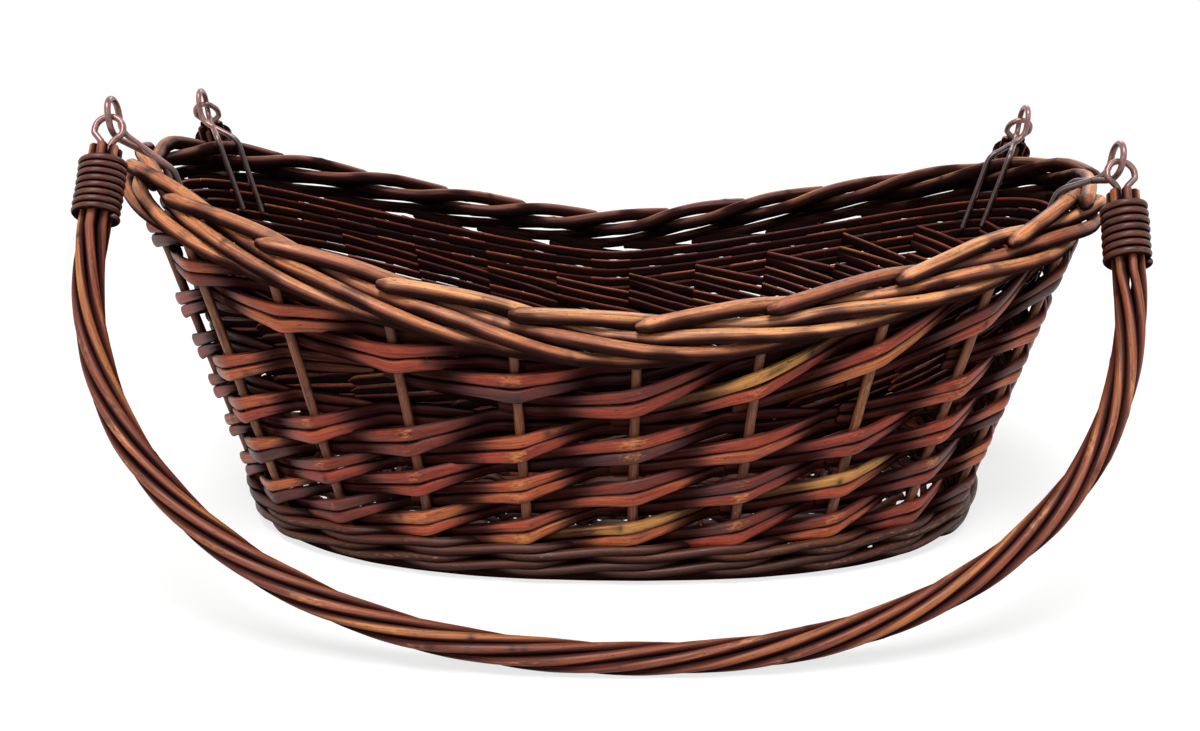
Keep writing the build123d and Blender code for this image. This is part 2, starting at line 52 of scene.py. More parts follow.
def makeCamera(spec):
    # looks along the yaw and the pitch, with its right and up turned about that line by the roll
    yaw, pitch, roll = spec["yaw"], spec["pitch"], spec["roll"]
    forward = Vector((math.sin(yaw) * math.cos(pitch), math.cos(yaw) * math.cos(pitch), -math.sin(pitch)))
    level = forward.cross(Vector((0, 0, 1))).normalized()
    upright = level.cross(forward)
    right = level * math.cos(roll) + upright * math.sin(roll)
    up = upright * math.cos(roll) - level * math.sin(roll)
    lens = bpy.data.cameras.new("photoCamera")
    lens.sensor_width = spec["sensorMm"]
    lens.lens = spec["sensorMm"] * spec["focalPixels"] / spec["widthPixels"]
    made = bpy.data.objects.new("photoCamera", lens)
    turn = Matrix((right, up, -forward)).transposed()
    made.matrix_world = Matrix.Translation(Vector(spec["placeMm"]) * mm) @ turn.to_4x4()
    bpy.context.scene.collection.objects.link(made)
    bpy.context.scene.camera = made


makeCamera(photo)
print("camera placed")

# Materials


def linear(hexText):
    # sRGB hex to linear: the low end divided by 12.92, the rest to the power 2.4
    values = []
    for k in (1, 3, 5):
        c = int(hexText[k:k + 2], 16) / 255
        values.append(c / 12.92 if c <= 0.04045 else ((c + 0.055) / 1.055) ** 2.4)
    return (*values, 1)


def addNode(tree, kind, settings, inputs):
    # adds a node, sets its options, and links or fills its inputs
    made = tree.nodes.new(kind)
    for name, value in settings.items():
        setattr(made, name, value)
    for name, value in inputs.items():
        if isinstance(value, bpy.types.NodeSocket):
            tree.links.new(value, made.inputs[name])
        else:
            made.inputs[name].default_value = value
    return made


softEdge = {"interpolation_type": "SMOOTHSTEP"}  # options of the nodes that are used again and again
colourMix = {"data_type": "RGBA"}
timesPlus = {"operation": "MULTIPLY_ADD"}

# in each finish, cool is the streaks' colour and the first colour of the painted shade, and dark is the
# painted shade's darkest colour
# pattern sizes are (across, along) the rod, in mm; willow's own fibres are about 0.1 mm wide, too fine
# for the render, so fibreMm draws them several times coarser, and spotMm the pores and flecks too

# Split willow, steamed and stained red-brown, with a satin varnish: painted shade lies nearly black
# # along the seams and in the crossings, small gold scuffs sit on the kinks, a few strands are pale
splitWillow = {
    "name": "stainedSplitWillow", "tones": ("#47231F", "#742A18", "#92361F", "#A4532C", "#B07A3C"),
    "cool": "#311819", "dark": "#100808", "scuff": "#C8844A", "fleck": "#1A0D0B",
    "fibreMm": (0.65, 16.0), "streakMm": (1.5, 38.0), "blotchMm": (7.0, 24.0), "spotMm": (0.9, 2.6),
    "streakDepth": 0.62, "roughness": (0.34, 0.56), "bumpMm": 0.16,
}
# Whole border rods with their bark worn brown: grey-purple with painted shade below and inside, darker at the
# tips, with dark flecks
borderWillow = {
    "name": "roundBorderWillow", "tones": ("#8B4D31", "#AC643C", "#C37B4E", "#9D5A38", "#D3905E"),
    "cool": "#45282A", "dark": "#180D0D", "scuff": "#DDAE78", "fleck": "#2A1512",
    "fibreMm": (0.75, 20.0), "streakMm": (1.5, 42.0), "blotchMm": (7.0, 28.0), "spotMm": (0.9, 3.4),
    "streakDepth": 0.7, "roughness": (0.36, 0.56), "bumpMm": 0.15,
}
# Peeled upright rods, stained light brown, with black fibres lengthwise
stakeWillow = {
    "name": "uprightStakeWillow", "tones": ("#673A26", "#7B482E", "#8B5738", "#714027", "#986A45"),
    "cool": "#462926", "dark": "#1C1110", "scuff": "#D4A670", "fleck": "#24130F",
    "fibreMm": (0.6, 12.0), "streakMm": (1.0, 26.0), "blotchMm": (6.0, 20.0), "spotMm": (0.8, 2.4),
    "streakDepth": 0.75, "roughness": (0.38, 0.58), "bumpMm": 0.14,
}
# Long whole handle rods, stained and satin-varnished: orange-brown crowns rubbed by the hand, with
# # painted shade nearly black where they meet
handleWillow = {
    "name": "twistedHandleWillow", "tones": ("#652E1A", "#83401E", "#9E542B", "#74371F", "#B06B36"),
    "cool": "#462323", "dark": "#190E0D", "scuff": "#CF8F5C", "fleck": "#24120F",
    "fibreMm": (0.65, 20.0), "streakMm": (1.3, 70.0), "blotchMm": (6.0, 46.0), "spotMm": (0.8, 3.6),
    "streakDepth": 0.65, "roughness": (0.38, 0.56), "bumpMm": 0.12,
}
# Whole thin withies with their bark on, darker and smoother than the split rods
whippingWithy = {
    "name": "wholeWithyWhipping", "tones": ("#472218", "#5A2D1C", "#6B371F", "#542C22", "#7C4325"),
    "cool": "#311A1A", "dark": "#150C0C", "scuff": "#A87252", "fleck": "#1C0E0C",
    "fibreMm": (0.4, 9.0), "streakMm": (1.2, 24.0), "blotchMm": (5.0, 20.0), "spotMm": (0.8, 2.6),
    "streakDepth": 0.55, "roughness": (0.28, 0.46), "bumpMm": 0.10,
}
# Thin whole rods of the foot and the base, stained brown: dull, with painted shade dark between them
footWillow = {
    "name": "thinFootWillow", "tones": ("#371607", "#461B0B", "#52210C", "#3E1809", "#5D2C0F"),
    "cool": "#2D1917", "dark": "#160D0C", "scuff": "#BC8A5A", "fleck": "#20110E",
    "fibreMm": (0.4, 11.0), "streakMm": (1.4, 40.0), "blotchMm": (6.0, 30.0), "spotMm": (0.8, 2.8),
    "streakDepth": 0.6, "roughness": (0.36, 0.56), "bumpMm": 0.12,
}
# What every willow finish shares. A pair named Edges is where a noise pattern, which runs from about
# 0.25 to 0.75, or a sum with one in it, starts and ends its effect.
willowFinish = {
    "details": {"fibre": 4, "streak": 3, "blotch": 3, "spot": 2}, "noiseRoughness": 0.6,
    "drift": 0.6, "streakEdges": (0.50, 0.68), "rippleEdges": (0.3, 0.7), "fibreLight": (0.50, 1.42),
    "spotsInWear": 1.6, "wearEdges": (1.15, 1.85), "wearMost": 0.7,
    # the pools paint shade from the shade mark, with the few real stain patches that share it
    "streaksInShadeAndStain": 0.5, "shadeAndStainPools": (("cool", (0.30, 0.85), 0.85), ("dark", (0.62, 1.30), 0.96)),
    "fleckEdges": (0.36, 0.28), "fleckMost": 0.85,
    "dullEdges": (0.4, 1.0), "specular": (0.28, 0.0), "bumpStrength": 0.8, "ior": 1.5,
}


def finishWillow(tree, spec, laid, marks, knot):
    # laid is the place in the straightened rod, in mm, with z along it; marks holds tone, scuff
    #     # and shade, which is mostly painted shade. Returns the surface shader.
    common = willowFinish
    patterns = {}
    for kind, detail in common["details"].items():
        across, along = spec[kind + "Mm"]
        scale = (1 / across, 1 / across, 1 / along)  # one ripple each size, in mm
        vector = addNode(tree, "ShaderNodeVectorMath", {"operation": "MULTIPLY"}, {0: laid, 1: scale})
        patterns[kind] = addNode(tree, "ShaderNodeTexNoise", {}, {
            "Vector": vector.outputs[0], "Scale": 1.0, "Detail": detail,
            "Roughness": common["noiseRoughness"]}).outputs[0]
    split = addNode(tree, "ShaderNodeSeparateColor", {}, {0: marks})
    tone, scuff, shade = split.outputs[0], split.outputs[1], split.outputs[2]
    # the stain: one of the tones for each rod, drifting a little with the blotches
    ramp = addNode(tree, "ShaderNodeValToRGB", {}, {})
    while len(ramp.color_ramp.elements) < len(spec["tones"]):
        ramp.color_ramp.elements.new(0.5)
    for k, element in enumerate(ramp.color_ramp.elements):
        element.position = k / (len(spec["tones"]) - 1)
        element.color = linear(spec["tones"][k])
    drifting = addNode(tree, "ShaderNodeMath", timesPlus, {
        0: patterns["blotch"], 1: common["drift"], 2: tone})
    centred = addNode(tree, "ShaderNodeMath", {"operation": "SUBTRACT"}, {
        0: drifting.outputs[0], 1: common["drift"] / 2})
    tree.links.new(centred.outputs[0], ramp.inputs[0])
    # lengthwise streaks of darker stain
    low, high = common["streakEdges"]
    streak = addNode(tree, "ShaderNodeMapRange", softEdge, {
        0: patterns["streak"], 1: low, 2: high, 3: 0.0, 4: spec["streakDepth"]})
    streaked = addNode(tree, "ShaderNodeMix", colourMix, {
        0: streak.outputs[0], 6: ramp.outputs[0], 7: linear(spec["cool"])})
    # fibres: a light and a dark ripple on the stain
    low, high = common["rippleEdges"]
    darkest, lightest = common["fibreLight"]
    fibre = addNode(tree, "ShaderNodeMapRange", {}, {
        0: patterns["fibre"], 1: low, 2: high, 3: darkest, 4: lightest})
    fibred = addNode(tree, "ShaderNodeVectorMath", {"operation": "SCALE"}, {
        0: streaked.outputs[2], 3: fibre.outputs[0]})
    # worn gold, in small spots and short scratches where the scuff mark is strong
    spotted = addNode(tree, "ShaderNodeMath", timesPlus, {
        0: patterns["spot"], 1: common["spotsInWear"], 2: scuff})
    low, high = common["wearEdges"]
    wear = addNode(tree, "ShaderNodeMapRange", softEdge, {
        0: spotted.outputs[0], 1: low, 2: high, 3: 0.0, 4: common["wearMost"]})
    worn = addNode(tree, "ShaderNodeMix", colourMix, {
        0: wear.outputs[0], 6: fibred.outputs[0], 7: linear(spec["scuff"])})
    # painted shade, with the few real stain patches that share its mark: first a cool brown, then nearly
    # black, drawn out by the streaks
    drawn = addNode(tree, "ShaderNodeMath", timesPlus, {
        0: patterns["streak"], 1: common["streaksInShadeAndStain"], 2: shade})
    shadedAndStained = worn
    for colour, (low, high), most in common["shadeAndStainPools"]:
        share = addNode(tree, "ShaderNodeMapRange", softEdge, {
            0: drawn.outputs[0], 1: low, 2: high, 3: 0.0, 4: most})
        shadedAndStained = addNode(tree, "ShaderNodeMix", colourMix, {
            0: share.outputs[0], 6: shadedAndStained.outputs[2], 7: linear(spec[colour])})
    # dark flecks where the spots are lowest, and the knots
    low, high = common["fleckEdges"]
    fleck = addNode(tree, "ShaderNodeMapRange", softEdge, {
        0: patterns["spot"], 1: low, 2: high, 3: 0.0, 4: common["fleckMost"]})
    darkSpots = addNode(tree, "ShaderNodeMath", {"operation": "MAXIMUM"}, {0: fleck.outputs[0], 1: knot})
    knotted = addNode(tree, "ShaderNodeMix", colourMix, {
        0: darkSpots.outputs[0], 6: shadedAndStained.outputs[2], 7: linear(spec["fleck"])})
    low, high = common["rippleEdges"]
    gloss = addNode(tree, "ShaderNodeMapRange", {}, {
        0: patterns["blotch"], 1: low, 2: high, 3: spec["roughness"][0], 4: spec["roughness"][1]})
    # the specular level falls where the painted shade and the stain are dark, so those places reflect less
    low, high = common["dullEdges"]
    shiny, dull = common["specular"]
    sheen = addNode(tree, "ShaderNodeMapRange", {}, {0: drawn.outputs[0], 1: low, 2: high, 3: shiny, 4: dull})
    bump = addNode(tree, "ShaderNodeBump", {}, {
        "Height": patterns["fibre"], "Distance": spec["bumpMm"] * mm, "Strength": common["bumpStrength"]})
    return addNode(tree, "ShaderNodeBsdfPrincipled", {}, {
        "Base Color": knotted.outputs[2], "Roughness": gloss.outputs[0], "Normal": bump.outputs[0],
        "IOR": common["ior"], "Specular IOR Level": sheen.outputs[0]})


def emptyMaterial(name):
    # a node material without its first nodes
    made = bpy.data.materials.new(name)
    made.use_nodes = True
    made.node_tree.nodes.clear()
    return made, made.node_tree


def rodMaterial(spec):
    # the willow finish, read from the two attributes that rodMesh writes
    made, tree = emptyMaterial(spec["name"])
    laid = addNode(tree, "ShaderNodeAttribute", {"attribute_name": "laid"}, {})
    marks = addNode(tree, "ShaderNodeAttribute", {"attribute_name": "marks"}, {})
    surface = finishWillow(tree, spec, laid.outputs["Vector"], marks.outputs["Color"], marks.outputs["Alpha"])
    addNode(tree, "ShaderNodeOutputMaterial", {}, {"Surface": surface.outputs[0]})
    return made


# Mild steel wire with a baked copper-brown lacquer: smooth, glossy, a little worn along the bends
brownWire = {
    "name": "lacqueredSteelWire", "lacquer": "#6E4540", "light": "#8D6058", "dirt": "#3E2624",
    "tuckedShade": "#140B0B", "rubMm": 1.1, "dirtMm": 4.5, "dirtEdges": (0.5, 0.72), "dirtMost": 0.8,
    "tuckedBelowMm": 178.0, "unshadedAboveMm": 188.0, "tuckedMost": 0.8,
    "roughnessEdges": (0.3, 0.7), "roughness": (0.24, 0.42), "bumpMm": 0.03, "bumpStrength": 0.6,
    "metallic": 0.35, "coat": 0.4, "coatRoughness": 0.2,
}


def wireMaterial(spec):
    # lacquer with rubbed and soiled places, on Object coordinates
    made, tree = emptyMaterial(spec["name"])
    place = addNode(tree, "ShaderNodeTexCoord", {}, {})
    rub = addNode(tree, "ShaderNodeTexNoise", {}, {
        "Vector": place.outputs["Object"], "Scale": 1 / (spec["rubMm"] * mm), "Detail": 3})
    dirt = addNode(tree, "ShaderNodeTexNoise", {}, {
        "Vector": place.outputs["Object"], "Scale": 1 / (spec["dirtMm"] * mm), "Detail": 4})
    light = addNode(tree, "ShaderNodeMix", colourMix, {
        0: rub.outputs[0], 6: linear(spec["lacquer"]), 7: linear(spec["light"])})
    low, high = spec["dirtEdges"]
    grime = addNode(tree, "ShaderNodeMapRange", softEdge, {
        0: dirt.outputs[0], 1: low, 2: high, 3: 0.0, 4: spec["dirtMost"]})
    soiled = addNode(tree, "ShaderNodeMix", colourMix, {
        0: grime.outputs[0], 6: light.outputs[2], 7: linear(spec["dirt"])})
    # painted shade, nearly black, where the legs go down inside the rim, by height above the table
    height = addNode(tree, "ShaderNodeSeparateXYZ", {}, {0: place.outputs["Object"]})
    low, high = spec["tuckedBelowMm"] * mm, spec["unshadedAboveMm"] * mm
    tuckedShade = addNode(tree, "ShaderNodeMapRange", softEdge, {
        0: height.outputs["Z"], 1: low, 2: high, 3: spec["tuckedMost"], 4: 0.0})
    colour = addNode(tree, "ShaderNodeMix", colourMix, {
        0: tuckedShade.outputs[0], 6: soiled.outputs[2], 7: linear(spec["tuckedShade"])})
    low, high = spec["roughnessEdges"]
    gloss = addNode(tree, "ShaderNodeMapRange", {}, {
        0: dirt.outputs[0], 1: low, 2: high, 3: spec["roughness"][0], 4: spec["roughness"][1]})
    bump = addNode(tree, "ShaderNodeBump", {}, {
        "Height": rub.outputs[0], "Distance": spec["bumpMm"] * mm, "Strength": spec["bumpStrength"]})
    surface = addNode(tree, "ShaderNodeBsdfPrincipled", {}, {
        "Base Color": colour.outputs[2], "Roughness": gloss.outputs[0], "Normal": bump.outputs[0],
        "Metallic": spec["metallic"], "Coat Weight": spec["coat"], "Coat Roughness": spec["coatRoughness"]})
    addNode(tree, "ShaderNodeOutputMaterial", {}, {"Surface": surface.outputs[0]})
    return made


willows = {
    "split": splitWillow, "border": borderWillow, "stake": stakeWillow, "handle": handleWillow,
    "whipping": whippingWithy, "foot": footWillow,
}
materials = {name: rodMaterial(spec) for name, spec in willows.items()}
materials["wire"] = wireMaterial(brownWire)
print("materials made:", len(materials))

# The basket's wall: ovals, rim height and the stakes' places, all in mm

basket = {
    "rimHalf": (235.0, 130.0), "rimFullness": 2.2, "baseHalf": (179.0, 112.0), "baseFullness": 2.35,
    "rimMiddle": 119.0, "rimLeft": 175.0, "rimRight": 168.0, "sweepPower": 1.44,
    "stakes": 24, "frontSpread": 0.11, "stakeShift": 0.62, "endsFromShare": 0.72,
    "ovalPoints": 721, "slopeStep": 1e-4,
}


def power(value, exponent):
    # a power of the size that keeps the sign
    return np.sign(value) * np.abs(value) ** exponent


def ovalPoint(half, fullness, angle):
    # superellipse: each half size times the cosine or sine to the power 2 over the fullness
    return np.stack([half[0] * power(np.cos(angle), 2 / fullness),
                     half[1] * power(np.sin(angle), 2 / fullness), np.zeros_like(angle)], -1)


def rimHeight(angle):
    # middle height plus the end's extra height times the share of the half length to the sweep power
    x = ovalPoint(basket["rimHalf"], basket["rimFullness"], angle)[..., 0]
    extra = np.where(x < 0, basket["rimLeft"], basket["rimRight"]) - basket["rimMiddle"]
    return basket["rimMiddle"] + extra * np.abs(x / basket["rimHalf"][0]) ** basket["sweepPower"]


def wallSurface(angle, height):
    # straight lines from the base oval to the rim oval
    low = ovalPoint(basket["baseHalf"], basket["baseFullness"], angle)
    high = ovalPoint(basket["rimHalf"], basket["rimFullness"], angle)
    place = low + (high - low) * (height / rimHeight(angle))[..., None]
    place[..., 2] = height
    return place


def unit(vectors):
    # each vector divided by its length
    return vectors / np.linalg.norm(vectors, axis=-1, keepdims=True)


def wallAxes(angle, height):
    # upward lies along the straight line from oval to oval; outward is square to it and to the
    # wall's run, which is the step between two points close on either side
    step = basket["slopeStep"]
    along = wallSurface(angle + step, height) - wallSurface(angle - step, height)
    rise = (ovalPoint(basket["rimHalf"], basket["rimFullness"], angle)
            - ovalPoint(basket["baseHalf"], basket["baseFullness"], angle))
    rise[..., 2] = rimHeight(angle)
    upward = unit(rise)
    return unit(np.cross(along, upward)), upward


def findStakeAngles():
    # equal shares of the half-way oval's length, weighted to stand wider apart at the front
    half = [(a + b) / 2 for a, b in zip(basket["baseHalf"], basket["rimHalf"])]
    fullness = (basket["baseFullness"] + basket["rimFullness"]) / 2
    angles = np.linspace(0, 2 * np.pi, basket["ovalPoints"])
    steps = np.linalg.norm(np.diff(ovalPoint(half, fullness, angles), axis=0), axis=1)
    steps = steps * (1 + basket["frontSpread"] * np.sin((angles[1:] + angles[:-1]) / 2))
    lengths = np.concatenate([[0], np.cumsum(steps)])
    wanted = lengths[-1] * (np.arange(basket["stakes"]) + basket["stakeShift"]) / basket["stakes"]
    return np.interp(wanted, lengths, angles)


# Places round the wall are counted in stakes, anticlockwise from above, and may run past a full turn
stakeAngles = findStakeAngles()
knownTurns = range(-1, 3)
stakeTable = np.concatenate([stakeAngles + 2 * np.pi * turn for turn in knownTurns])


def angleAt(place):
    # straight lines between the stakes' own angles
    counted = np.arange(len(stakeTable)) + knownTurns[0] * basket["stakes"]
    return np.interp(place, counted, stakeTable)


def wallPoint(place, height, outwardMm, upwardMm=0.0):
    # a point of the wall's surface, moved along the wall's two axes
    angle, height, outwardMm, upwardMm = np.broadcast_arrays(angleAt(place), height, outwardMm, upwardMm)
    outward, upward = wallAxes(angle, height)
    spot = wallSurface(angle, height) + outward * outwardMm[..., None]
    return spot + upward * upwardMm[..., None], outward, upward


def sideOf(stake):
    # an end where the rim is past a share of its half length, and else the front or the rear
    x, y = ovalPoint(basket["rimHalf"], basket["rimFullness"], angleAt(float(stake)))[:2]
    if abs(x) > basket["rimHalf"][0] * basket["endsFromShare"]:
        return "left_end" if x < 0 else "right_end"
    return "front" if y < 0 else "rear"


allStakes = range(basket["stakes"])
# how each side is written in the names of nodes, and in those of new pieces
sideNames = {"front": "front", "right_end": "rightEnd", "rear": "rear", "left_end": "leftEnd"}
print("wall worked out")

# Meshes of rods

# a pair that goes to ripple holds the length of its waves, in mm, and their height
rodDetail = {
    "rippleShare": 0.65, "secondWave": 0.43, "splitFlatness": 0.35, "splitEdge": 0.85, "grainMm": 4000.0,
    "knotsBetween": (0.05, 0.95), "knotMm": 1.5, "knotPower": 6, "knotSwell": 0.10,
    "endPush": 0.35, "endRing": 0.72, "poleShare": 0.25, "endGrainMm": 0.5,
}


def smoothStep(x, low, high):
    # 3 t squared less 2 t cubed, with t running from low to high
    t = np.clip((x - low) / (high - low), 0, 1)
    return t * t * (3 - 2 * t)


def ripple(rods, lengths, waveMm, amount):
    # two slow sine waves along each rod, with their own phases
    phase = chance.uniform(0, 2 * np.pi, (2, rods, 1))
    first = np.sin(2 * np.pi * lengths / waveMm + phase[0])
    second = np.sin(2 * np.pi * lengths / (waveMm * rodDetail["secondWave"]) + phase[1])
    return amount * (rodDetail["rippleShare"] * first + (1 - rodDetail["rippleShare"]) * second)


def runLengths(centres):
    # each rod's length up to each of its points, from the steps between them
    steps = np.linalg.norm(np.diff(centres, axis=1), axis=2)
    return np.concatenate([np.zeros((len(centres), 1)), np.cumsum(steps, axis=1)], axis=1)


def squareAxes(centres, towards):
    # section axes square to the rod's run, the first one as near as it can be to towards
    run = unit(np.gradient(centres, axis=1))
    second = unit(np.cross(run, towards))
    return np.cross(second, run), second


def roundSection(count):
    # a circle: cosine and sine of equal turns
    turn = 2 * np.pi * np.arange(count) / count
    return np.cos(turn), np.sin(turn)


def splitSection(count):
    # round bark side outward, nearly flat split side inward, with soft edges: powers of cosine and sine
    turn = 2 * np.pi * (np.arange(count) + 0.5) / count
    reach = np.abs(np.cos(turn))
    across = np.where(np.cos(turn) > 0, reach, -reach ** rodDetail["splitFlatness"])
    return across, power(np.sin(turn), rodDetail["splitEdge"])


def upwardFacing(axisA, axisB, section):
    # height of each section point above its centre, as a share of the radius
    a, b = section
    return axisA[..., None, 2] * a + axisB[..., None, 2] * b


def withEnds(rows, first, last):
    # one more row before the first sample and one after the last
    return np.concatenate([first, rows, last], 1)


def makeKnots(spec, lengths, section):
    # each knot is a bell curve along the rod times a raised cosine round it, at a random place
    a, b = section
    rods = len(lengths)
    span = (lengths[:, -1] - lengths[:, 0])[:, None]
    count = max(1, round(float(span.mean()) / spec["knotEveryMm"]))
    place = lengths[:, :1] + span * chance.uniform(*rodDetail["knotsBetween"], (rods, count))
    knotTurn = chance.uniform(0, 2 * np.pi, (rods, count))
    near = np.exp(-((lengths[:, :, None] - place[:, None]) / rodDetail["knotMm"]) ** 2)
    turned = (1 + np.cos(np.arctan2(b, a)[None, None] - knotTurn[:, :, None])) / 2
    return np.clip(np.einsum("rsk,rka->rsa", near, turned ** rodDetail["knotPower"]), 0, 1)


def rodMesh(name, spec, centres, axisA, axisB, halfA, halfB, section, tone, scuff, shade):
    # a closed tube for each rod: its centre plus the section's two shares, each times its half size,
    # along the section's two axes
    rods, samples = centres.shape[:2]
    lengths = runLengths(centres) + chance.uniform(0, rodDetail["grainMm"], (rods, 1))
    a, b = section
    around = len(a)
    knot = makeKnots(spec, lengths, section)
    swell = 1 + rodDetail["knotSwell"] * knot
    sectionA = halfA[:, :, None] * a * swell
    sectionB = halfB[:, :, None] * b * swell
    # a smaller ring and a pole close each end
    run = unit(np.gradient(centres, axis=1))[:, [0, -1]]
    push = rodDetail["endPush"] * halfA[:, :1, None] * np.array([[-1.0], [1.0]])
    caps = centres[:, [0, -1]] + run * push
    poles = caps + run * push * rodDetail["poleShare"]
    centres = withEnds(centres, caps[:, :1], caps[:, 1:])
    smaller, past = rodDetail["endRing"], rodDetail["endGrainMm"]
    sectionA, sectionB = (withEnds(half, smaller * half[:, :1], smaller * half[:, -1:])
                          for half in (sectionA, sectionB))
    axisA, axisB = (withEnds(axis, axis[:, :1], axis[:, -1:]) for axis in (axisA, axisB))
    lengths = withEnds(lengths, lengths[:, :1] - past, lengths[:, -1:] + past)
    samples += 2
    ring = centres[:, :, None] + axisA[:, :, None] * sectionA[..., None]
    ring = ring + axisB[:, :, None] * sectionB[..., None]
    points = np.concatenate([ring.reshape(-1, 3), poles.reshape(-1, 3)])
    points[:, 2] = np.maximum(points[:, 2], 0)  # nothing reaches below the table
    # quads between neighbouring rings, and triangles from each end ring to its pole
    index = np.arange(rods * samples * around).reshape(rods, samples, around)
    beside = np.roll(index, -1, axis=2)
    quads = np.stack([index[:, :-1], beside[:, :-1], beside[:, 1:], index[:, 1:]], -1).reshape(-1, 4)
    poleIndex = np.arange(index.size, index.size + 2 * rods).reshape(rods, 2, 1).repeat(around, axis=2)
    starts = np.stack([beside[:, 0], index[:, 0], poleIndex[:, 0]], -1).reshape(-1, 3)
    ends = np.stack([index[:, -1], beside[:, -1], poleIndex[:, 1]], -1).reshape(-1, 3)
    tris = np.concatenate([starts, ends])
    # the signed volume says which way the faces point
    corners = points[quads]
    volume = np.einsum("ij,ij->i", corners[:, 0], np.cross(corners[:, 1], corners[:, 2])).sum()
    volume += np.einsum("ij,ij->i", corners[:, 0], np.cross(corners[:, 2], corners[:, 3])).sum()
    if volume < 0:
        quads, tris = quads[:, ::-1], tris[:, ::-1]
    mesh = bpy.data.meshes.new(name)
    mesh.vertices.add(len(points))
    mesh.vertices.foreach_set("co", (points * mm).astype(np.float32).ravel())
    mesh.loops.add(quads.size + tris.size)
    mesh.loops.foreach_set("vertex_index", np.concatenate([quads.ravel(), tris.ravel()]).astype(np.int32))
    mesh.polygons.add(len(quads) + len(tris))
    firsts = np.concatenate([4 * np.arange(len(quads)), quads.size + 3 * np.arange(len(tris))])
    mesh.polygons.foreach_set("loop_start", firsts.astype(np.int32))
    mesh.polygons.foreach_set("use_smooth", np.ones(len(firsts), bool))
    # place in the straightened rod, in mm, for the grain
    laid = np.zeros((rods, samples, around, 3))
    laid[..., 0], laid[..., 1], laid[..., 2] = sectionA, sectionB, lengths[:, :, None]
    poleLaid = np.zeros((rods, 2, 3))
    poleLaid[..., 2] = lengths[:, [0, -1]]
    laid = np.concatenate([laid.reshape(-1, 3), poleLaid.reshape(-1, 3)])
    attribute = mesh.attributes.new("laid", "FLOAT_VECTOR", "POINT")
    attribute.data.foreach_set("vector", laid.astype(np.float32).ravel())
    marks = np.zeros((rods, samples, around, 4))
    marks[..., 0] = np.reshape(tone, (rods, 1, 1))
    for k, mark in ((1, scuff), (2, shade), (3, knot)):
        mark = np.broadcast_to(mark, (rods, samples - 2, around))
        marks[..., k] = withEnds(mark, mark[:, :1], mark[:, -1:])
    marks = np.concatenate([marks.reshape(-1, 4), marks[:, [0, -1], 0].reshape(-1, 4)])
    attribute = mesh.attributes.new("marks", "FLOAT_COLOR", "POINT")
    attribute.data.foreach_set("color", marks.astype(np.float32).ravel())
    mesh.update(calc_edges=True)
    mesh.validate()
    made = bpy.data.objects.new(name, mesh)
    bpy.context.scene.collection.objects.link(made)
    return made


def dress(piece, material, body, node):
    # finish, body and slot of a new piece, and the CAD node that it stands for
    piece.data.materials.append(materials[material])
    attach(piece, body)
    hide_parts(node)


# Weavers: pairs of split rods, in at one stake, out at the next and in at the third

weaver = {
    "heightMm": 5.65, "heightVaries": (-0.10, 0.07), "thicknessMm": 2.9, "gapMm": 0.05, "cadSpacingMm": 5.2,
    "firstTierMm": 27.33, "tierPitchMm": 20.8, "topSpread": 1.04, "topDropMm": 26.7, "clearMm": 1.0,
    "insideMm": -3.85, "outsideMm": 3.95, "tuckedMm": -6.75, "stakeGapMm": 45.0,
    # places along a strand, in stakes from the one that it passes outside
    "tails": (-1.16, 1.70), "wrap": 0.06, "tuck": 0.24, "stops": (-0.9, -0.12, 0.12, 0.8, 1.15),
    "climbBlur": 0.06, "seatBlur": 0.035, "blurSteps": 7,
    "kinkExtraMm": 0.8, "kinkReach": 0.22, "kinkOutMm": 0.3, "kinkWidth": 0.10, "kinkVaries": (0.6, 1.1),
    "sagMm": 0.9, "sagWidth": 0.12, "wanderMm": (70.0, 0.3), "unevenMm": (38.0, 0.18),
    "tailClimbMm": {"level": 1.2, "top": 7.0}, "tailClimbFrom": 0.7, "tailClimbVaries": (0.5, 1.15),
    "lower": {"from": 1.1, "over": 0.6, "by": 0.5}, "thinner": {"from": 1.0, "over": 0.4, "by": 0.35},
    "samples": 64, "around": 14, "knotEveryMm": 70.0,
}
weaverMarks = {
    "rubAt": -0.02, "rubWidth": 0.13, "rubVaries": (0.05, 1.0), "rubInside": 0.25, "rubBelow": 0.25,
    "leastShadeAt": 0.03, "leastShadeVaries": 0.10, "crossingEdges": (0.16, 0.62), "crossing": (0.77, 0.62),
    "insideEdges": (0.62, 0.85), "seamEdges": (0.72, 1.0), "seam": 0.75, "seamInside": 0.55,
    "innerFace": (0.75, 0.40), "innerFaceEdges": (0.1, 0.9), "below": 0.18, "most": 1.1,
    "paleShare": 0.05, "paleShadeCut": 0.15, "tones": (0.02, 0.80),
}


def topTierHeight(place):
    # the rim's height less a fixed drop
    return rimHeight(angleAt(place)) - weaver["topDropMm"]


def softInterp(x, keys, values, blur):
    # straight lines between the keys, averaged over a short stretch so that the kinks are round
    nearby = np.linspace(-blur, blur, weaver["blurSteps"])
    return np.mean([np.interp(x + d, keys, values) for d in nearby], axis=0)


def bell(x, width):
    # 1 at the middle, falling away on both sides as a bell curve
    return np.exp(-(x / width) ** 2)


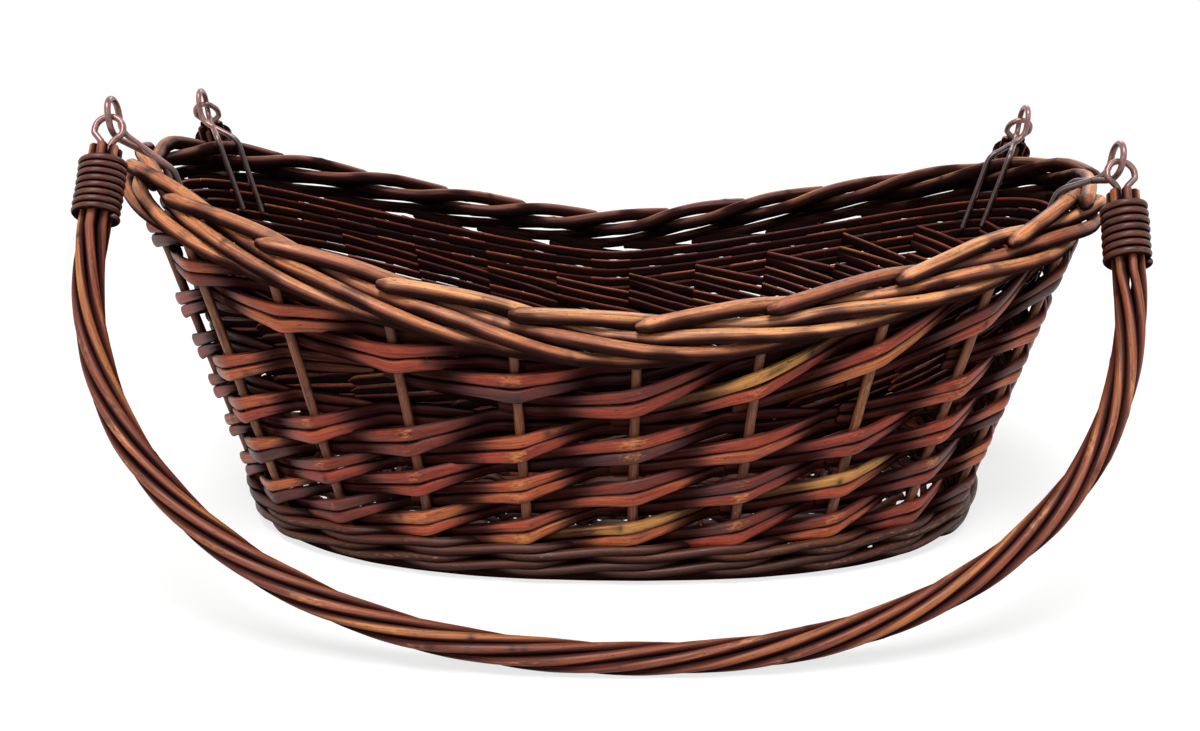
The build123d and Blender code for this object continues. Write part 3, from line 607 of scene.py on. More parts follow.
def weaverPiece(name, first, level, spread, tailClimb, node):
    # the centre line is the wall's point at a place, moved out and in by straight lines between the
    # stakes, climbing half a tier from stake to stake, with two strands above one another
    spec, wrap, tuck = weaver, weaver["wrap"], weaver["tuck"]
    start, end = spec["tails"]
    stops = (start, *spec["stops"], end)
    s = np.interp(np.linspace(0, len(stops) - 1, spec["samples"]), range(len(stops)), stops)
    side = np.tile([-1.0, 1.0], len(first))[:, None]
    place = np.repeat(np.asarray(first, float), 2)[:, None] + s
    rods = len(place)
    lower, thinner = spec["lower"], spec["thinner"]
    tall = spec["heightMm"] + spec["kinkExtraMm"] * bell(s, spec["kinkReach"])
    tall = tall * (1 + chance.uniform(*spec["heightVaries"], (rods, 1)))
    tall = tall * (1 - lower["by"] * np.clip((s - lower["from"]) / lower["over"], 0, 1) ** 2)
    kink = chance.uniform(*spec["kinkVaries"], (rods, 1)) * bell(s, spec["kinkWidth"])
    rise = side * (tall + spec["gapMm"]) / 2 * spread
    wander = ripple(rods, spec["stakeGapMm"] * s, *spec["wanderMm"])
    sag = spec["sagMm"] * bell(s, spec["sagWidth"]) * (side < 0) * chance.uniform(0, 1, (rods, 1))
    climbing = (-1 + wrap, 1 - tuck)
    climbed = 2 * spec["cadSpacingMm"] * spread * softInterp(s, climbing, climbing, spec["climbBlur"])
    varies = chance.uniform(*spec["tailClimbVaries"], (rods, 1))
    climbed = climbed + tailClimb * smoothStep(s, spec["tailClimbFrom"], end) * varies
    height = level(place) + climbed + rise + wander - sag
    keys = (start, -1 + wrap, -wrap, wrap, 1 - tuck, end)
    seats = [spec[seat] for seat in ("insideMm", "outsideMm", "tuckedMm") for _ in range(2)]
    across = softInterp(s, keys, seats, spec["seatBlur"]) + spec["kinkOutMm"] * kink
    centres, outward, upward = wallPoint(place, height, across)
    thick = spec["thicknessMm"] + ripple(rods, spec["stakeGapMm"] * s, *spec["unevenMm"])
    thick = thick * (1 - thinner["by"] * np.clip((s - thinner["from"]) / thinner["over"], 0, 1))
    section = splitSection(spec["around"])
    tone, scuff, shade = markWeavers(s, rods, section)
    piece = rodMesh(name, spec, centres, outward, upward, thick / 2, tall / 2, section, tone, scuff, shade)
    dress(piece, "split", "basket", node)


def markWeavers(s, rods, section):
    # tone of each strand, and scuff and shade of each point of it
    spec = weaverMarks
    a, b = section
    bark = np.clip(a, 0, 1)
    # scuffs: strongest on the kink and on the upper edge of its crown
    rubbed = bell(s - spec["rubAt"], spec["rubWidth"])[:, None]
    rubbed = rubbed * chance.uniform(*spec["rubVaries"], (rods, 1, 1))
    onBark = spec["rubInside"] + (1 - spec["rubInside"]) * bark
    scuff = np.clip(rubbed * onBark * (1 - spec["rubBelow"] + spec["rubBelow"] * b), 0, 1)
    # painted shade: darker away from the kink, where the strand passes behind others, along both seams,
    # underneath and inside the wall
    away = np.abs(s - spec["leastShadeAt"]) - spec["leastShadeVaries"] * chance.uniform(-1, 1, (rods, 1))
    crossing = smoothStep(away, *spec["crossingEdges"])[:, :, None]
    seam = smoothStep(np.abs(b), *spec["seamEdges"]) * (spec["seamInside"] + (1 - spec["seamInside"]) * bark)
    inside = smoothStep(np.abs(s), *spec["insideEdges"])[:, None]
    outerShade, innerShade = spec["crossing"]
    lowFace, highFace = spec["innerFace"]
    innerFace = lowFace + (highFace - lowFace) * smoothStep(b, *spec["innerFaceEdges"])
    shade = (outerShade + (innerShade - outerShade) * inside) * crossing + spec["seam"] * seam
    shade = shade + spec["below"] * np.clip(-b, 0, 1) + np.clip(-a, 0, 1) * innerFace * inside
    shade = np.clip(shade, 0, spec["most"])
    # pale strands carry a little less painted shade
    pale = chance.uniform(0, 1, rods) < spec["paleShare"]
    shade = shade * (1 - spec["paleShadeCut"] * pale)[:, None, None]
    return np.where(pale, 1.0, chance.uniform(*spec["tones"], rods)), scuff, shade


def findTiers():
    # from the foot up, a tier at each pitch, at the stakes where its strands still fit under the top tier
    found, height = [], weaver["firstTierMm"]
    pair = 2 * weaver["cadSpacingMm"]
    room = pair * (1 + weaver["topSpread"]) + weaver["clearMm"]
    while True:
        fits = [k for k in allStakes
                if height <= topTierHeight(k) - room and height <= topTierHeight(k + 1) - room
                and height <= topTierHeight(k - 1) - pair]
        if not fits:
            return found
        found.append((height, fits))
        height += weaver["tierPitchMm"]


tiers = findTiers()
for k, (tierHeight, fits) in enumerate(tiers):
    weaverPiece(f"tier{k + 1}Weavers", fits, lambda place: tierHeight, 1.0,
                weaver["tailClimbMm"]["level"], f"weavers_tier_{k + 1}")
    print("tier", k + 1, "pairs:", len(fits))
weaverPiece("topTierWeavers", allStakes, topTierHeight, weaver["topSpread"],
            weaver["tailClimbMm"]["top"], "weavers_top_tier")
print("weavers made")

# Packing: short split strips inside the wall, from the wedges between the tiers up to under the border

# of the two kinds, the flat rows follow the rim, and the louvres before them climb nearly as the weavers do
packing = {
    "heightMm": 5.3, "heightVaries": (0.90, 1.04), "spacingMm": 5.2, "dropMm": 9.5, "roomMm": 1.5,
    "reach": 0.62, "pointed": 0.09, "pointShare": 0.04, "climbMm": 13.0, "climbVariesMm": 3.5,
    "louvreMm": 1.5, "samples": 22, "around": 12, "knotEveryMm": 60.0, "mostTone": 0.8,
    "shade": 0.95, "upperPaintedLight": 0.75, "upperLightEdges": (0.4, 0.95), "below": 0.2,
    "scuff": 0.8, "scuffEdges": (0.5, 0.95),
    "kinds": (
        {"rows": (-4, 2), "stagger": 0.5, "climbShare": 0.0, "insideMm": -8.4, "thicknessMm": 1.3},
        {"rows": (0, 8), "stagger": 0.0, "climbShare": 0.8, "insideMm": -9.9, "thicknessMm": 1.9},
    ),
}


def findStrips(spec):
    # every row at every stake, where the strip lies above the uppermost level tier there
    levels = np.zeros(basket["stakes"])
    for tierHeight, fits in tiers:
        levels[fits] = tierHeight
    found = []
    for kind in spec["kinds"]:
        for row in range(*kind["rows"]):
            place = np.arange(basket["stakes"]) + kind["stagger"] * (row % 2)
            spots = place[:, None] + np.array([-0.5, 0.0, 0.5])
            height = topTierHeight(spots) - spec["dropMm"] - row * spec["spacingMm"]
            below = levels[np.round(spots).astype(int) % basket["stakes"]]
            needed = (height > below + spec["roomMm"]).any(axis=1)
            found += [(spot, row, kind["climbShare"], kind["insideMm"], kind["thicknessMm"])
                      for spot in place[needed]]
    return (np.array(values, float)[:, None] for values in zip(*found))


def packingPiece():
    # each strip's centre line is a mix of the top tier's line and a straight climb, less its row's drop
    spec = packing
    place, row, share, inside, thick = findStrips(spec)
    rods = len(place)
    s = np.linspace(-spec["reach"], spec["reach"], spec["samples"])
    followed = topTierHeight(place + s)
    climb = spec["climbMm"] + spec["climbVariesMm"] * chance.uniform(-1, 1, (rods, 1))
    climbing = topTierHeight(place) + climb * s
    height = followed + (climbing - followed) * share - spec["dropMm"] - row * spec["spacingMm"]
    # each strip starts close to the wall and ends over the next one
    centres, outward, upward = wallPoint(place + s, height, inside - spec["louvreMm"] * s)
    # one end of each strip is cut to a point, as the square root of the length from it
    point = np.sqrt(np.clip((spec["reach"] + s) / spec["pointed"], spec["pointShare"], 1))
    tall = spec["heightMm"] * chance.uniform(*spec["heightVaries"], (rods, 1)) * point
    a, b = section = splitSection(spec["around"])
    # painted shade over the whole strip, with painted light on its upper edge and deeper shade underneath
    shade = spec["shade"] - spec["upperPaintedLight"] * smoothStep(b, *spec["upperLightEdges"])
    shade = shade + spec["below"] * np.clip(-b, 0, 1)
    # the scuff here is painted highlight: gold spots along the lit upper edge
    scuff = spec["scuff"] * smoothStep(b, *spec["scuffEdges"]) * chance.uniform(0, 1, (rods, 1, 1))
    piece = rodMesh("wallPackingStrips", spec, centres, outward, upward, thick / 2, tall / 2, section,
                    chance.uniform(0, spec["mostTone"], rods), scuff, shade)
    dress(piece, "split", "basket", "wall_packing")
    print("packing strips:", rods)


packingPiece()

# Border: one thick rod starts at each stake, climbs over the top, ducks inside and lies along the outside

border = {
    "diameterMm": 7.3, "braidMm": 6.8, "tipShare": 0.80, "unevenMm": (55.0, 0.10), "scatterMm": 0.12,
    "endMm": 0.6, "roundedMm": 3.2, "samplesPerCorner": 12, "around": 16, "knotEveryMm": 46.0,
    # outward and upward of the rim, in braids, at every half stake
    "route": ((0.33, 0.97), (-0.25, 1.26), (-0.87, 0.95), (-1.00, 0.01), (-0.12, -0.16),
              (0.65, 0.16), (1.15, -0.35), (1.03, -1.04), (0.46, -1.42), (-0.06, -1.61)),
    "routeStep": 0.5, "nodeShift": 2,
    "scuff": 0.55, "scuffVaries": (0.2, 1.0), "tip": 0.8, "tipMm": 30.0, "butt": 0.35, "buttMm": 4.0,
    "patches": 0.34, "patchWave": (64.0, 1.0), "patchEdges": (0.1, 0.9),
    "below": 0.92, "belowEdges": (-0.72, 0.28), "inside": 0.5, "insideEdges": (-0.1, 0.8),
}


def cornerCurve(corners, perCorner):
    # quadratic B-spline: a parabola at each corner, touching the middles of the runs beside it
    middles = (corners[:, 1:] + corners[:, :-1]) / 2
    starts = np.concatenate([corners[:, :1], middles[:, 1:-1]], 1)
    ends = np.concatenate([middles[:, 1:-1], corners[:, -1:]], 1)
    control = corners[:, 1:-1]
    t = (np.arange(perCorner) / perCorner)[None, None, :, None]
    curve = (1 - t) ** 2 * starts[:, :, None] + 2 * t * (1 - t) * control[:, :, None]
    curve = curve + t ** 2 * ends[:, :, None]
    return np.concatenate([curve.reshape(len(corners), -1, 3), corners[:, -1:]], 1)


def borderPiece(name, first, node):
    # round rods with one parabola to each corner of the route, which follows the rim from stake to stake
    spec = border
    route = np.array(spec["route"]) * spec["braidMm"]
    place = np.asarray(first, float)[:, None] + spec["routeStep"] * np.arange(len(route))
    corners, outward, upward = wallPoint(place, rimHeight(angleAt(place)), route[:, 0], route[:, 1])
    rods = len(corners)
    corners = corners + chance.normal(0, spec["scatterMm"], corners.shape)
    centres = cornerCurve(corners, spec["samplesPerCorner"])
    towards = cornerCurve(outward, spec["samplesPerCorner"])
    axisA, axisB = squareAxes(centres, towards)
    lengths = runLengths(centres)
    share = lengths / lengths[:, -1:]
    radius = spec["diameterMm"] / 2 * (1 - (1 - spec["tipShare"]) * share ** 2)
    radius = radius + ripple(rods, lengths, *spec["unevenMm"])
    # blunt rounded ends: the radius follows a quarter circle over the first and last millimetres
    for away in (lengths, lengths[:, -1:] - lengths):
        flat = 1 - np.clip((away + spec["endMm"]) / spec["roundedMm"], 0, 1)
        radius = radius * np.sqrt(1 - flat ** 2)
    a, b = section = roundSection(spec["around"])
    facing = upwardFacing(axisA, axisB, section)
    inward = -((axisA * towards).sum(-1)[..., None] * a + (axisB * towards).sum(-1)[..., None] * b)
    # scuffed on top; darker towards both ends, stained in patches, with painted shade underneath and inside
    scuff = spec["scuff"] * np.clip(facing, 0, 1) * chance.uniform(*spec["scuffVaries"], (rods, 1, 1))
    tip = np.clip(1 - (lengths[:, -1:] - lengths) / spec["tipMm"], 0, 1)
    butt = np.clip(1 - lengths / spec["buttMm"], 0, 1)
    patches = smoothStep(ripple(rods, lengths, *spec["patchWave"]), *spec["patchEdges"])
    shade = (spec["tip"] * tip + spec["butt"] * butt + spec["patches"] * patches)[..., None]
    # painted shade on the downward faces and on those that face into the basket
    shade = shade + spec["below"] * smoothStep(-facing, *spec["belowEdges"])
    shade = np.clip(shade + spec["inside"] * smoothStep(inward, *spec["insideEdges"]), 0, 1)
    piece = rodMesh(name, spec, centres, axisA, axisB, radius, radius, section,
                    chance.uniform(0, 1, rods), scuff, shade)
    dress(piece, "border", "basket", node)


for side, sideName in sideNames.items():
    # a rod belongs to the side where its middle lies, two stakes on from its start
    first = [k for k in allStakes if sideOf(k + border["nodeShift"]) == side]
    borderPiece(sideName + "BorderRods", first, "border_rods_" + side)
print("border made")

# Stakes: round upright rods from the foot ring to under the border

stakeRod = {
    "diameterMm": 4.6, "footMm": 4.8, "topDropMm": 13.3, "samples": 44, "around": 12, "knotEveryMm": 40.0,
    "bowMm": (90.0, 0.2), "unevenMm": (22.0, 0.05), "thickFoot": 1.03, "taper": 0.08,
    "scuff": 0.6, "scuffVaries": (0.2, 1.0), "inside": 0.7, "insideEdges": (-0.5, 0.6),
}


def stakePiece(name, which, node):
    # straight from a point of the wall near the table to one under the border, with a slight bow
    spec = stakeRod
    angle = stakeAngles[which][:, None]
    bottom = wallSurface(angle, spec["footMm"])
    top = wallPoint(np.asarray(which, float)[:, None], rimHeight(angle), 0.0, -spec["topDropMm"])[0]
    share = np.linspace(0, 1, spec["samples"])[None, :, None]
    centres = bottom + (top - bottom) * share
    outward = np.repeat(wallAxes(angle, rimHeight(angle) / 2)[0], spec["samples"], axis=1)
    axisA, axisB = squareAxes(centres, outward)
    lengths = runLengths(centres)
    centres = centres + axisB * ripple(len(which), lengths, *spec["bowMm"])[..., None]
    radius = spec["diameterMm"] / 2 * (spec["thickFoot"] - spec["taper"] * share[..., 0])
    radius = radius + ripple(len(which), lengths, *spec["unevenMm"])
    a, b = section = roundSection(spec["around"])
    scuff = spec["scuff"] * np.clip(a, 0, 1) * chance.uniform(*spec["scuffVaries"], (len(which), 1, 1))
    # painted shade on the side that faces into the basket
    shade = spec["inside"] * smoothStep(-a, *spec["insideEdges"])
    piece = rodMesh(name, spec, centres, axisA, axisB, radius, radius, section,
                    chance.uniform(0, 1, len(which)), scuff, shade)
    dress(piece, "stake", "basket", node)


for side, sideName in sideNames.items():
    stakePiece(sideName + "Stakes", [k for k in allStakes if sideOf(k) == side], "stakes_" + side)
print("stakes made")

# Foot: the ring that the basket stands on, and two rounds of waling above it

footRod = {
    "diameterMm": 5.0, "heightMm": 2.0, "from": 0.05, "past": 0.02, "samples": 260, "around": 16,
    "knotEveryMm": 50.0, "unevenMm": (60.0, 0.08), "tone": 0.4, "scuff": 0.15, "shade": 0.8,
}
# a waling rod starts inside one stake, passes outside the next two and ends inside the fourth
waling = {
    "diameterMm": 5.0, "thickStart": 1.02, "taper": 0.12, "unevenMm": (40.0, 0.06),
    "seatMm": 4.85, "lowMm": 6.6, "highMm": 10.55, "roundsMm": (0.0, 8.0), "tail": 0.2,
    "samples": 66, "around": 10, "knotEveryMm": 50.0, "scuff": 0.55, "scuffVaries": (0.1, 1.0),
    "inside": 0.85, "below": 0.8, "belowEdges": (-0.5, 0.5), "seam": 0.3, "seamEdges": (0.6, 1.0),
}
skyward = np.array([0.0, 0.0, 1.0])


def easeInterp(x, keys, values):
    # half a cosine wave between each two keys
    k = np.clip(np.searchsorted(keys, x, side="right") - 1, 0, len(keys) - 2)
    keys, values = np.asarray(keys), np.asarray(values)
    t = np.clip((x - keys[k]) / (keys[k + 1] - keys[k]), 0, 1)
    return values[k] + (values[k + 1] - values[k]) * (1 - np.cos(np.pi * t)) / 2


def footRing():
    # the base oval at one height, cut flat underneath so that nothing reaches below the table
    spec = footRod
    place = np.linspace(spec["from"], basket["stakes"] + spec["past"], spec["samples"])[None]
    centres = wallPoint(place, 0.0, 0.0)[0]
    centres[..., 2] = spec["heightMm"]
    axisA, axisB = squareAxes(centres, skyward)
    radius = spec["diameterMm"] / 2 + ripple(1, runLengths(centres), *spec["unevenMm"])
    a, b = roundSection(spec["around"])
    flattened = np.maximum(a, -spec["heightMm"] / (spec["diameterMm"] / 2))
    # painted shade darkens the whole ring, which lies lowest
    piece = rodMesh("footRingRod", spec, centres, axisA, axisB, radius, radius, (flattened, b),
                    spec["tone"], spec["scuff"], spec["shade"])
    dress(piece, "foot", "basket", "foot_ring")


def footWaling():
    # half cosine waves from stake to stake, in to out and low to high; the second round lies on the first
    spec = waling
    seat, tail, low, high = spec["seatMm"], spec["tail"], spec["lowMm"], spec["highMm"]
    s = np.linspace(-tail, 3 + tail, spec["samples"])
    keys = (-tail, 0, 1, 2, 3, 3 + tail)
    across = easeInterp(s, keys, (-seat, -seat, seat, seat, -seat, -seat))
    lift = np.repeat(spec["roundsMm"], basket["stakes"])[:, None]
    height = easeInterp(s, keys, (low, low, low, high, high, high)) + lift
    rods = len(height)
    place = np.tile(np.arange(basket["stakes"]), len(spec["roundsMm"]))[:, None] + s
    centres, outward, upward = wallPoint(place, height, across)
    axisA, axisB = squareAxes(centres, outward)
    lengths = runLengths(centres)
    radius = spec["diameterMm"] / 2 * (spec["thickStart"] - spec["taper"] * lengths / lengths[:, -1:])
    radius = radius + ripple(rods, lengths, *spec["unevenMm"])
    a, b = section = roundSection(spec["around"])
    outside = np.clip(across / seat, 0, 1)[None, :, None]
    scuff = spec["scuff"] * outside * np.clip(a, 0, 1) * chance.uniform(*spec["scuffVaries"], (rods, 1, 1))
    # painted shade on the parts inside the wall, underneath and along the upper and lower edges
    below = smoothStep(-upwardFacing(axisA, axisB, section), *spec["belowEdges"])
    shade = spec["inside"] * (1 - outside) + spec["below"] * below
    shade = shade + spec["seam"] * smoothStep(np.abs(b), *spec["seamEdges"])
    piece = rodMesh("footWalingRods", spec, centres, axisA, axisB, radius, radius, section,
                    chance.uniform(0, 1, rods), scuff, shade)
    dress(piece, "foot", "basket", "foot_waling")


footRing()
footWaling()
print("foot made")

# Base: rounds of thin rods woven over and under the cross sticks and laths

base = {
    "rodDiameterMm": 3.2, "rounds": 18, "innerHalf": (110.9, 6.2), "innerFullness": 4.0, "insetMm": 6.4,
    "stickSpacingMm": 22.0, "stickPairs": 4, "stickHeightMm": 6.4, "reachMm": 4.55,
    "lathBendMm": 98.0, "lathSpacingMm": 7.5, "lathFanDegrees": 35.0, "lathMm": 90.0, "lathSteps": 2000,
    "gap": 0.12, "samplesPerCrossing": 9, "around": 8, "knotEveryMm": 60.0, "unevenMm": (50.0, 0.06),
    "mostTone": 0.8, "scuff": 0.3, "shade": 0.9, "crownShadeCut": 0.5,
}


def roundAngles(half, fullness):
    # oval angles where one round passes the sticks, and the three laths that fan out at each end
    along = base["stickSpacingMm"] * np.arange(-base["stickPairs"], base["stickPairs"] + 1)
    atStick = np.arccos(power(along / half[0], fullness / 2))
    found = [*atStick, *(2 * np.pi - atStick)]
    reach = np.linspace(0, base["lathMm"], base["lathSteps"])
    for row in (-1, 0, 1):
        fan = math.radians(base["lathFanDegrees"]) * row
        x = base["lathBendMm"] + reach * math.cos(fan)
        y = row * base["lathSpacingMm"] + reach * math.sin(fan)
        # the oval's equation is nearest to 1 where the lath crosses it
        k = np.argmin(np.abs((x / half[0]) ** fullness + np.abs(y / half[1]) ** fullness - 1))
        turn = math.atan2(power(y[k] / half[1], fullness / 2), power(x[k] / half[0], fullness / 2))
        found += [turn % (2 * math.pi), (math.pi - turn) % (2 * math.pi)]
    return np.sort(found)


def roundPath(index, outer):
    # one round: an oval between the inner and the outer one, passing over and under in half cosine
    # waves. Also returns the step across the floor to the next larger oval.
    spec = base
    share = index / (spec["rounds"] - 1)
    half = [i + (o - i) * share for i, o in zip(spec["innerHalf"], outer)]
    fullness = basket["baseFullness"] + (spec["innerFullness"] - basket["baseFullness"]) * (1 - share) ** 2
    angles = roundAngles(half, fullness)
    shift = (index * spec["stickPairs"]) % len(angles)
    angles = np.concatenate([angles[shift:], angles[:shift] + 2 * np.pi, angles[shift:shift + 1] + 2 * np.pi])
    count = len(angles) - 1
    t = np.linspace(0, count - spec["gap"], count * spec["samplesPerCrossing"])
    angle = np.interp(t, range(count + 1), angles)
    side = np.where((np.arange(count + 1) + shift + index) % 2, 1.0, -1.0)
    path = ovalPoint(half, fullness, angle)
    larger = [h + (o - i) / (spec["rounds"] - 1) for h, i, o in zip(half, spec["innerHalf"], outer)]
    step = ovalPoint(larger, fullness, angle) - path
    path[:, 2] = spec["stickHeightMm"] + spec["reachMm"] * easeInterp(t, np.arange(count + 1), side)
    return path, step[:, :2]


def baseRounds():
    # rods flattened to fill the step to the next round, as far as that lies across the rod
    spec = base
    outer = [h - spec["insetMm"] for h in basket["baseHalf"]]
    paths, steps = zip(*(roundPath(index, outer) for index in range(spec["rounds"])))
    centres = np.stack(paths)
    axisA, axisB = squareAxes(centres, skyward)
    radius = spec["rodDiameterMm"] / 2 + ripple(spec["rounds"], runLengths(centres), *spec["unevenMm"])
    room = np.abs(np.einsum("rsk,rsk->rs", np.stack(steps), axisB[..., :2]))
    wide = np.maximum(room / 2, radius)
    crown = np.abs(np.clip((centres[..., 2] - spec["stickHeightMm"]) / spec["reachMm"], -1, 1))[..., None]
    # painted shade deep in the base, less on the crowns where the rods rise over the sticks
    piece = rodMesh("baseRoundRods", spec, centres, axisA, axisB, radius, wide, roundSection(spec["around"]),
                    chance.uniform(0, spec["mostTone"], spec["rounds"]), spec["scuff"] * crown,
                    spec["shade"] - spec["crownShadeCut"] * crown)
    dress(piece, "foot", "basket", "base_rounds")


baseRounds()
print("base made")

# Handles: six long rods twisted round a core, hung as an arch in a plane that leans on the table

handles = {
    "front": {"side": -1, "hingeMm": (0.0, -76.0, 198.0), "along": (0.999374, 0.0, -0.035376),
              "leanDegrees": 33.05},
    "rear": {"side": 1, "hingeMm": (0.0, 76.0, 194.5), "along": (0.999939, 0.0, -0.011061),
             "leanDegrees": 34.56},
}
arch = {
    "halfSpanMm": 226.0, "depthMm": 228.0, "legMm": 54.2, "startMm": 15.5, "fullness": 2.2,
    "linePoints": 1441, "turns": 3, "rods": 6, "firstRod": 0.5, "ringMm": 4.4, "endRingMm": 4.95,
    "rodDiameterMm": 4.6, "thickEnd": 1.04, "taper": 0.10, "endThinner": 0.06,
    "samples": 300, "around": 14, "knotEveryMm": 60.0,
    "swayWave": (180.0, 0.05), "looseMm": (110.0, 0.18), "unevenMm": (70.0, 0.07),
    "rubWave": (90.0, 1.0), "scuff": 0.75, "inward": 0.9, "inwardPower": 0.7,
    "seam": 0.8, "seamEdges": (0.55, 0.92), "below": 0.5, "belowEdges": (-0.4, 0.5), "most": 1.1,
}
whipping = {
    "startMm": 21.0, "pitchMm": {"left": 3.25, "right": 3.75}, "turns": {"left": 8, "right": 7}, "past": 0.06,
    "radiusMm": 8.8, "thickMm": 3.2, "tallShare": 0.96, "turnMm": 50.0,
    "bulgeMm": (43.0, 0.15), "thickVariesMm": (31.0, 0.06), "tallVariesMm": (37.0, 0.06),
    "samplesPerTurn": 40, "around": 12, "knotEveryMm": 40.0, "scuff": 0.5, "rubWave": (29.0, 1.0),
    "shade": 0.12, "inward": 0.8, "seam": 0.85, "seamEdges": (0.5, 0.9),
}


def handlePlane(spec):
    # the plane's own axes: along the hinge line, down the arch, and out of the plane
    along, outward = np.array(spec["along"]), np.array([0.0, spec["side"], 0.0])
    plumb = np.cross(along, outward)
    plumb = -plumb if plumb[2] > 0 else plumb
    lean = math.radians(spec["leanDegrees"])
    down = plumb * math.cos(lean) + outward * math.sin(lean)
    out = outward * math.cos(lean) - plumb * math.sin(lean)
    return np.array(spec["hingeMm"]), along, down, out


def archLine():
    # a straight leg, half a superellipse and a straight leg, as x, y and their lengths
    turn = np.linspace(0, np.pi, arch["linePoints"])
    x = -arch["halfSpanMm"] * power(np.cos(turn), 2 / arch["fullness"])
    y = arch["legMm"] + (arch["depthMm"] - arch["legMm"]) * power(np.sin(turn), 2 / arch["fullness"])
    x = np.concatenate([[-arch["halfSpanMm"]], x, [arch["halfSpanMm"]]])
    y = np.concatenate([[arch["startMm"]], y, [arch["startMm"]]])
    lengths = np.concatenate([[0], np.cumsum(np.hypot(np.diff(x), np.diff(y)))])
    return x, y, lengths


def handleRods(name, spec):
    # helices round the arch's line: straight down both legs, and three turns over the bend between
    hinge, along, down, out = handlePlane(spec)
    x, y, lengths = archLine()
    total = lengths[-1]
    s = np.linspace(0, total, arch["samples"])
    px, py = np.interp(s, lengths, x), np.interp(s, lengths, y)
    run = unit(np.stack([np.gradient(px), np.gradient(py)], -1))
    middle = hinge + px[:, None] * along + py[:, None] * down
    leg = arch["legMm"] - arch["startMm"]
    fade = smoothStep(np.minimum(s, total - s), leg, 2 * leg)  # 0 on the legs and 1 on the bend
    laidTurn = arch["turns"] * np.clip(s - leg, 0, total - 2 * leg) / (total - 2 * leg)
    a, b = section = roundSection(arch["around"])
    for index in range(arch["rods"]):
        sway = ripple(1, s[None], *arch["swayWave"])[0] * fade
        turn = 2 * np.pi * (laidTurn + (index + arch["firstRod"] + sway) / arch["rods"])
        ring = arch["endRingMm"] + (arch["ringMm"] - arch["endRingMm"]) * fade
        ring = ring + ripple(1, s[None], *arch["looseMm"])[0] * fade
        outer, outOf = ring * np.cos(turn), ring * np.sin(turn)
        sideways, deep = px - run[:, 1] * outer, py + run[:, 0] * outer
        centres = hinge + sideways[:, None] * along + deep[:, None] * down + outOf[:, None] * out
        axisA, axisB = squareAxes(centres[None], unit(centres - middle)[None])
        share = s / total if index % 2 else 1 - s / total  # thick ends lie left and right by turns
        radius = arch["rodDiameterMm"] / 2 * (arch["thickEnd"] - arch["taper"] * share)[None]
        radius = radius * (1 - arch["endThinner"] * (1 - fade)) + ripple(1, s[None], *arch["unevenMm"])
        # rubbed in places on the crowns; painted shade towards the core, along the seams and underneath
        rubbed = np.clip(ripple(1, s[None], *arch["rubWave"]), 0, 1)[..., None]
        scuff = arch["scuff"] * np.clip(a, 0, 1) ** 2 * rubbed
        below = smoothStep(-upwardFacing(axisA, axisB, section), *arch["belowEdges"])
        shade = arch["inward"] * np.clip(-a, 0, 1) ** arch["inwardPower"] + arch["below"] * below
        shade = np.clip(shade + arch["seam"] * smoothStep(np.abs(b), *arch["seamEdges"]), 0, arch["most"])
        piece = rodMesh(f"{name}HandleRod{index + 1}", arch, centres[None], axisA, axisB, radius, radius,
                        section, chance.uniform(0, 1, 1), scuff, shade)
        dress(piece, "handle", name + "_handle", f"{name}_handle_rod_{index + 1}")


def whippingPiece(name, spec, end, endName):
    # a helix round the handle's leg: cosine and sine times the radius, going down one pitch each turn
    hinge, along, down, out = handlePlane(spec)
    turns, pitch = whipping["turns"][endName], whipping["pitchMm"][endName]
    t = np.linspace(-whipping["past"], turns + whipping["past"], turns * whipping["samplesPerTurn"])
    lengths = whipping["turnMm"] * t[None]
    radius = whipping["radiusMm"] + ripple(1, lengths, *whipping["bulgeMm"])[0]
    depth = whipping["startMm"] + whipping["thickMm"] / 2 + pitch * t
    sideways, outOf = np.cos(2 * np.pi * t), np.sin(2 * np.pi * t)
    centres = (hinge + (end * arch["halfSpanMm"] + radius * sideways)[:, None] * along
               + depth[:, None] * down + (radius * outOf)[:, None] * out)[None]
    axisA, axisB = squareAxes(centres, (sideways[:, None] * along + outOf[:, None] * out)[None])
    thick = whipping["thickMm"] / 2 + ripple(1, lengths, *whipping["thickVariesMm"])
    tall = whipping["tallShare"] * pitch / 2 + ripple(1, lengths, *whipping["tallVariesMm"])
    a, b = section = roundSection(whipping["around"])
    rubbed = np.clip(ripple(1, lengths, *whipping["rubWave"]), 0, 1)[..., None]
    scuff = whipping["scuff"] * np.clip(a, 0, 1) ** 2 * rubbed
    # painted shade: a little all over, more on the side towards the handle and along the edges
    shade = whipping["shade"] + whipping["inward"] * np.clip(-a, 0, 1)
    shade = shade + whipping["seam"] * smoothStep(np.abs(b), *whipping["seamEdges"])
    piece = rodMesh(f"{name}{endName.title()}WhippingWithy", whipping, centres, axisA, axisB, thick, tall,
                    section, chance.uniform(0, 1, 1), scuff, shade)
    dress(piece, "whipping", name + "_handle", f"{name}_{endName}_whipping")


for name, spec in handles.items():
    handleRods(name, spec)
    for end, endName in ((-1, "left"), (1, "right")):
        whippingPiece(name, spec, end, endName)
    print(name, "handle made")

# CAD nodes that keep their own shape: the wires, the base's sticks and laths, the handles' cores

plainWillow = {
    "sticks": {"grain": (0, 2, 1), "nodes": ("base_cross_sticks",)},
    "laths": {"grain": (1, 2, 0), "nodes": ("base_laths", "front_handle_core", "rear_handle_core")},
}
plainMarks = (0.45, 0.2, 0.25, 1)  # tone, scuff and shade, the same all over


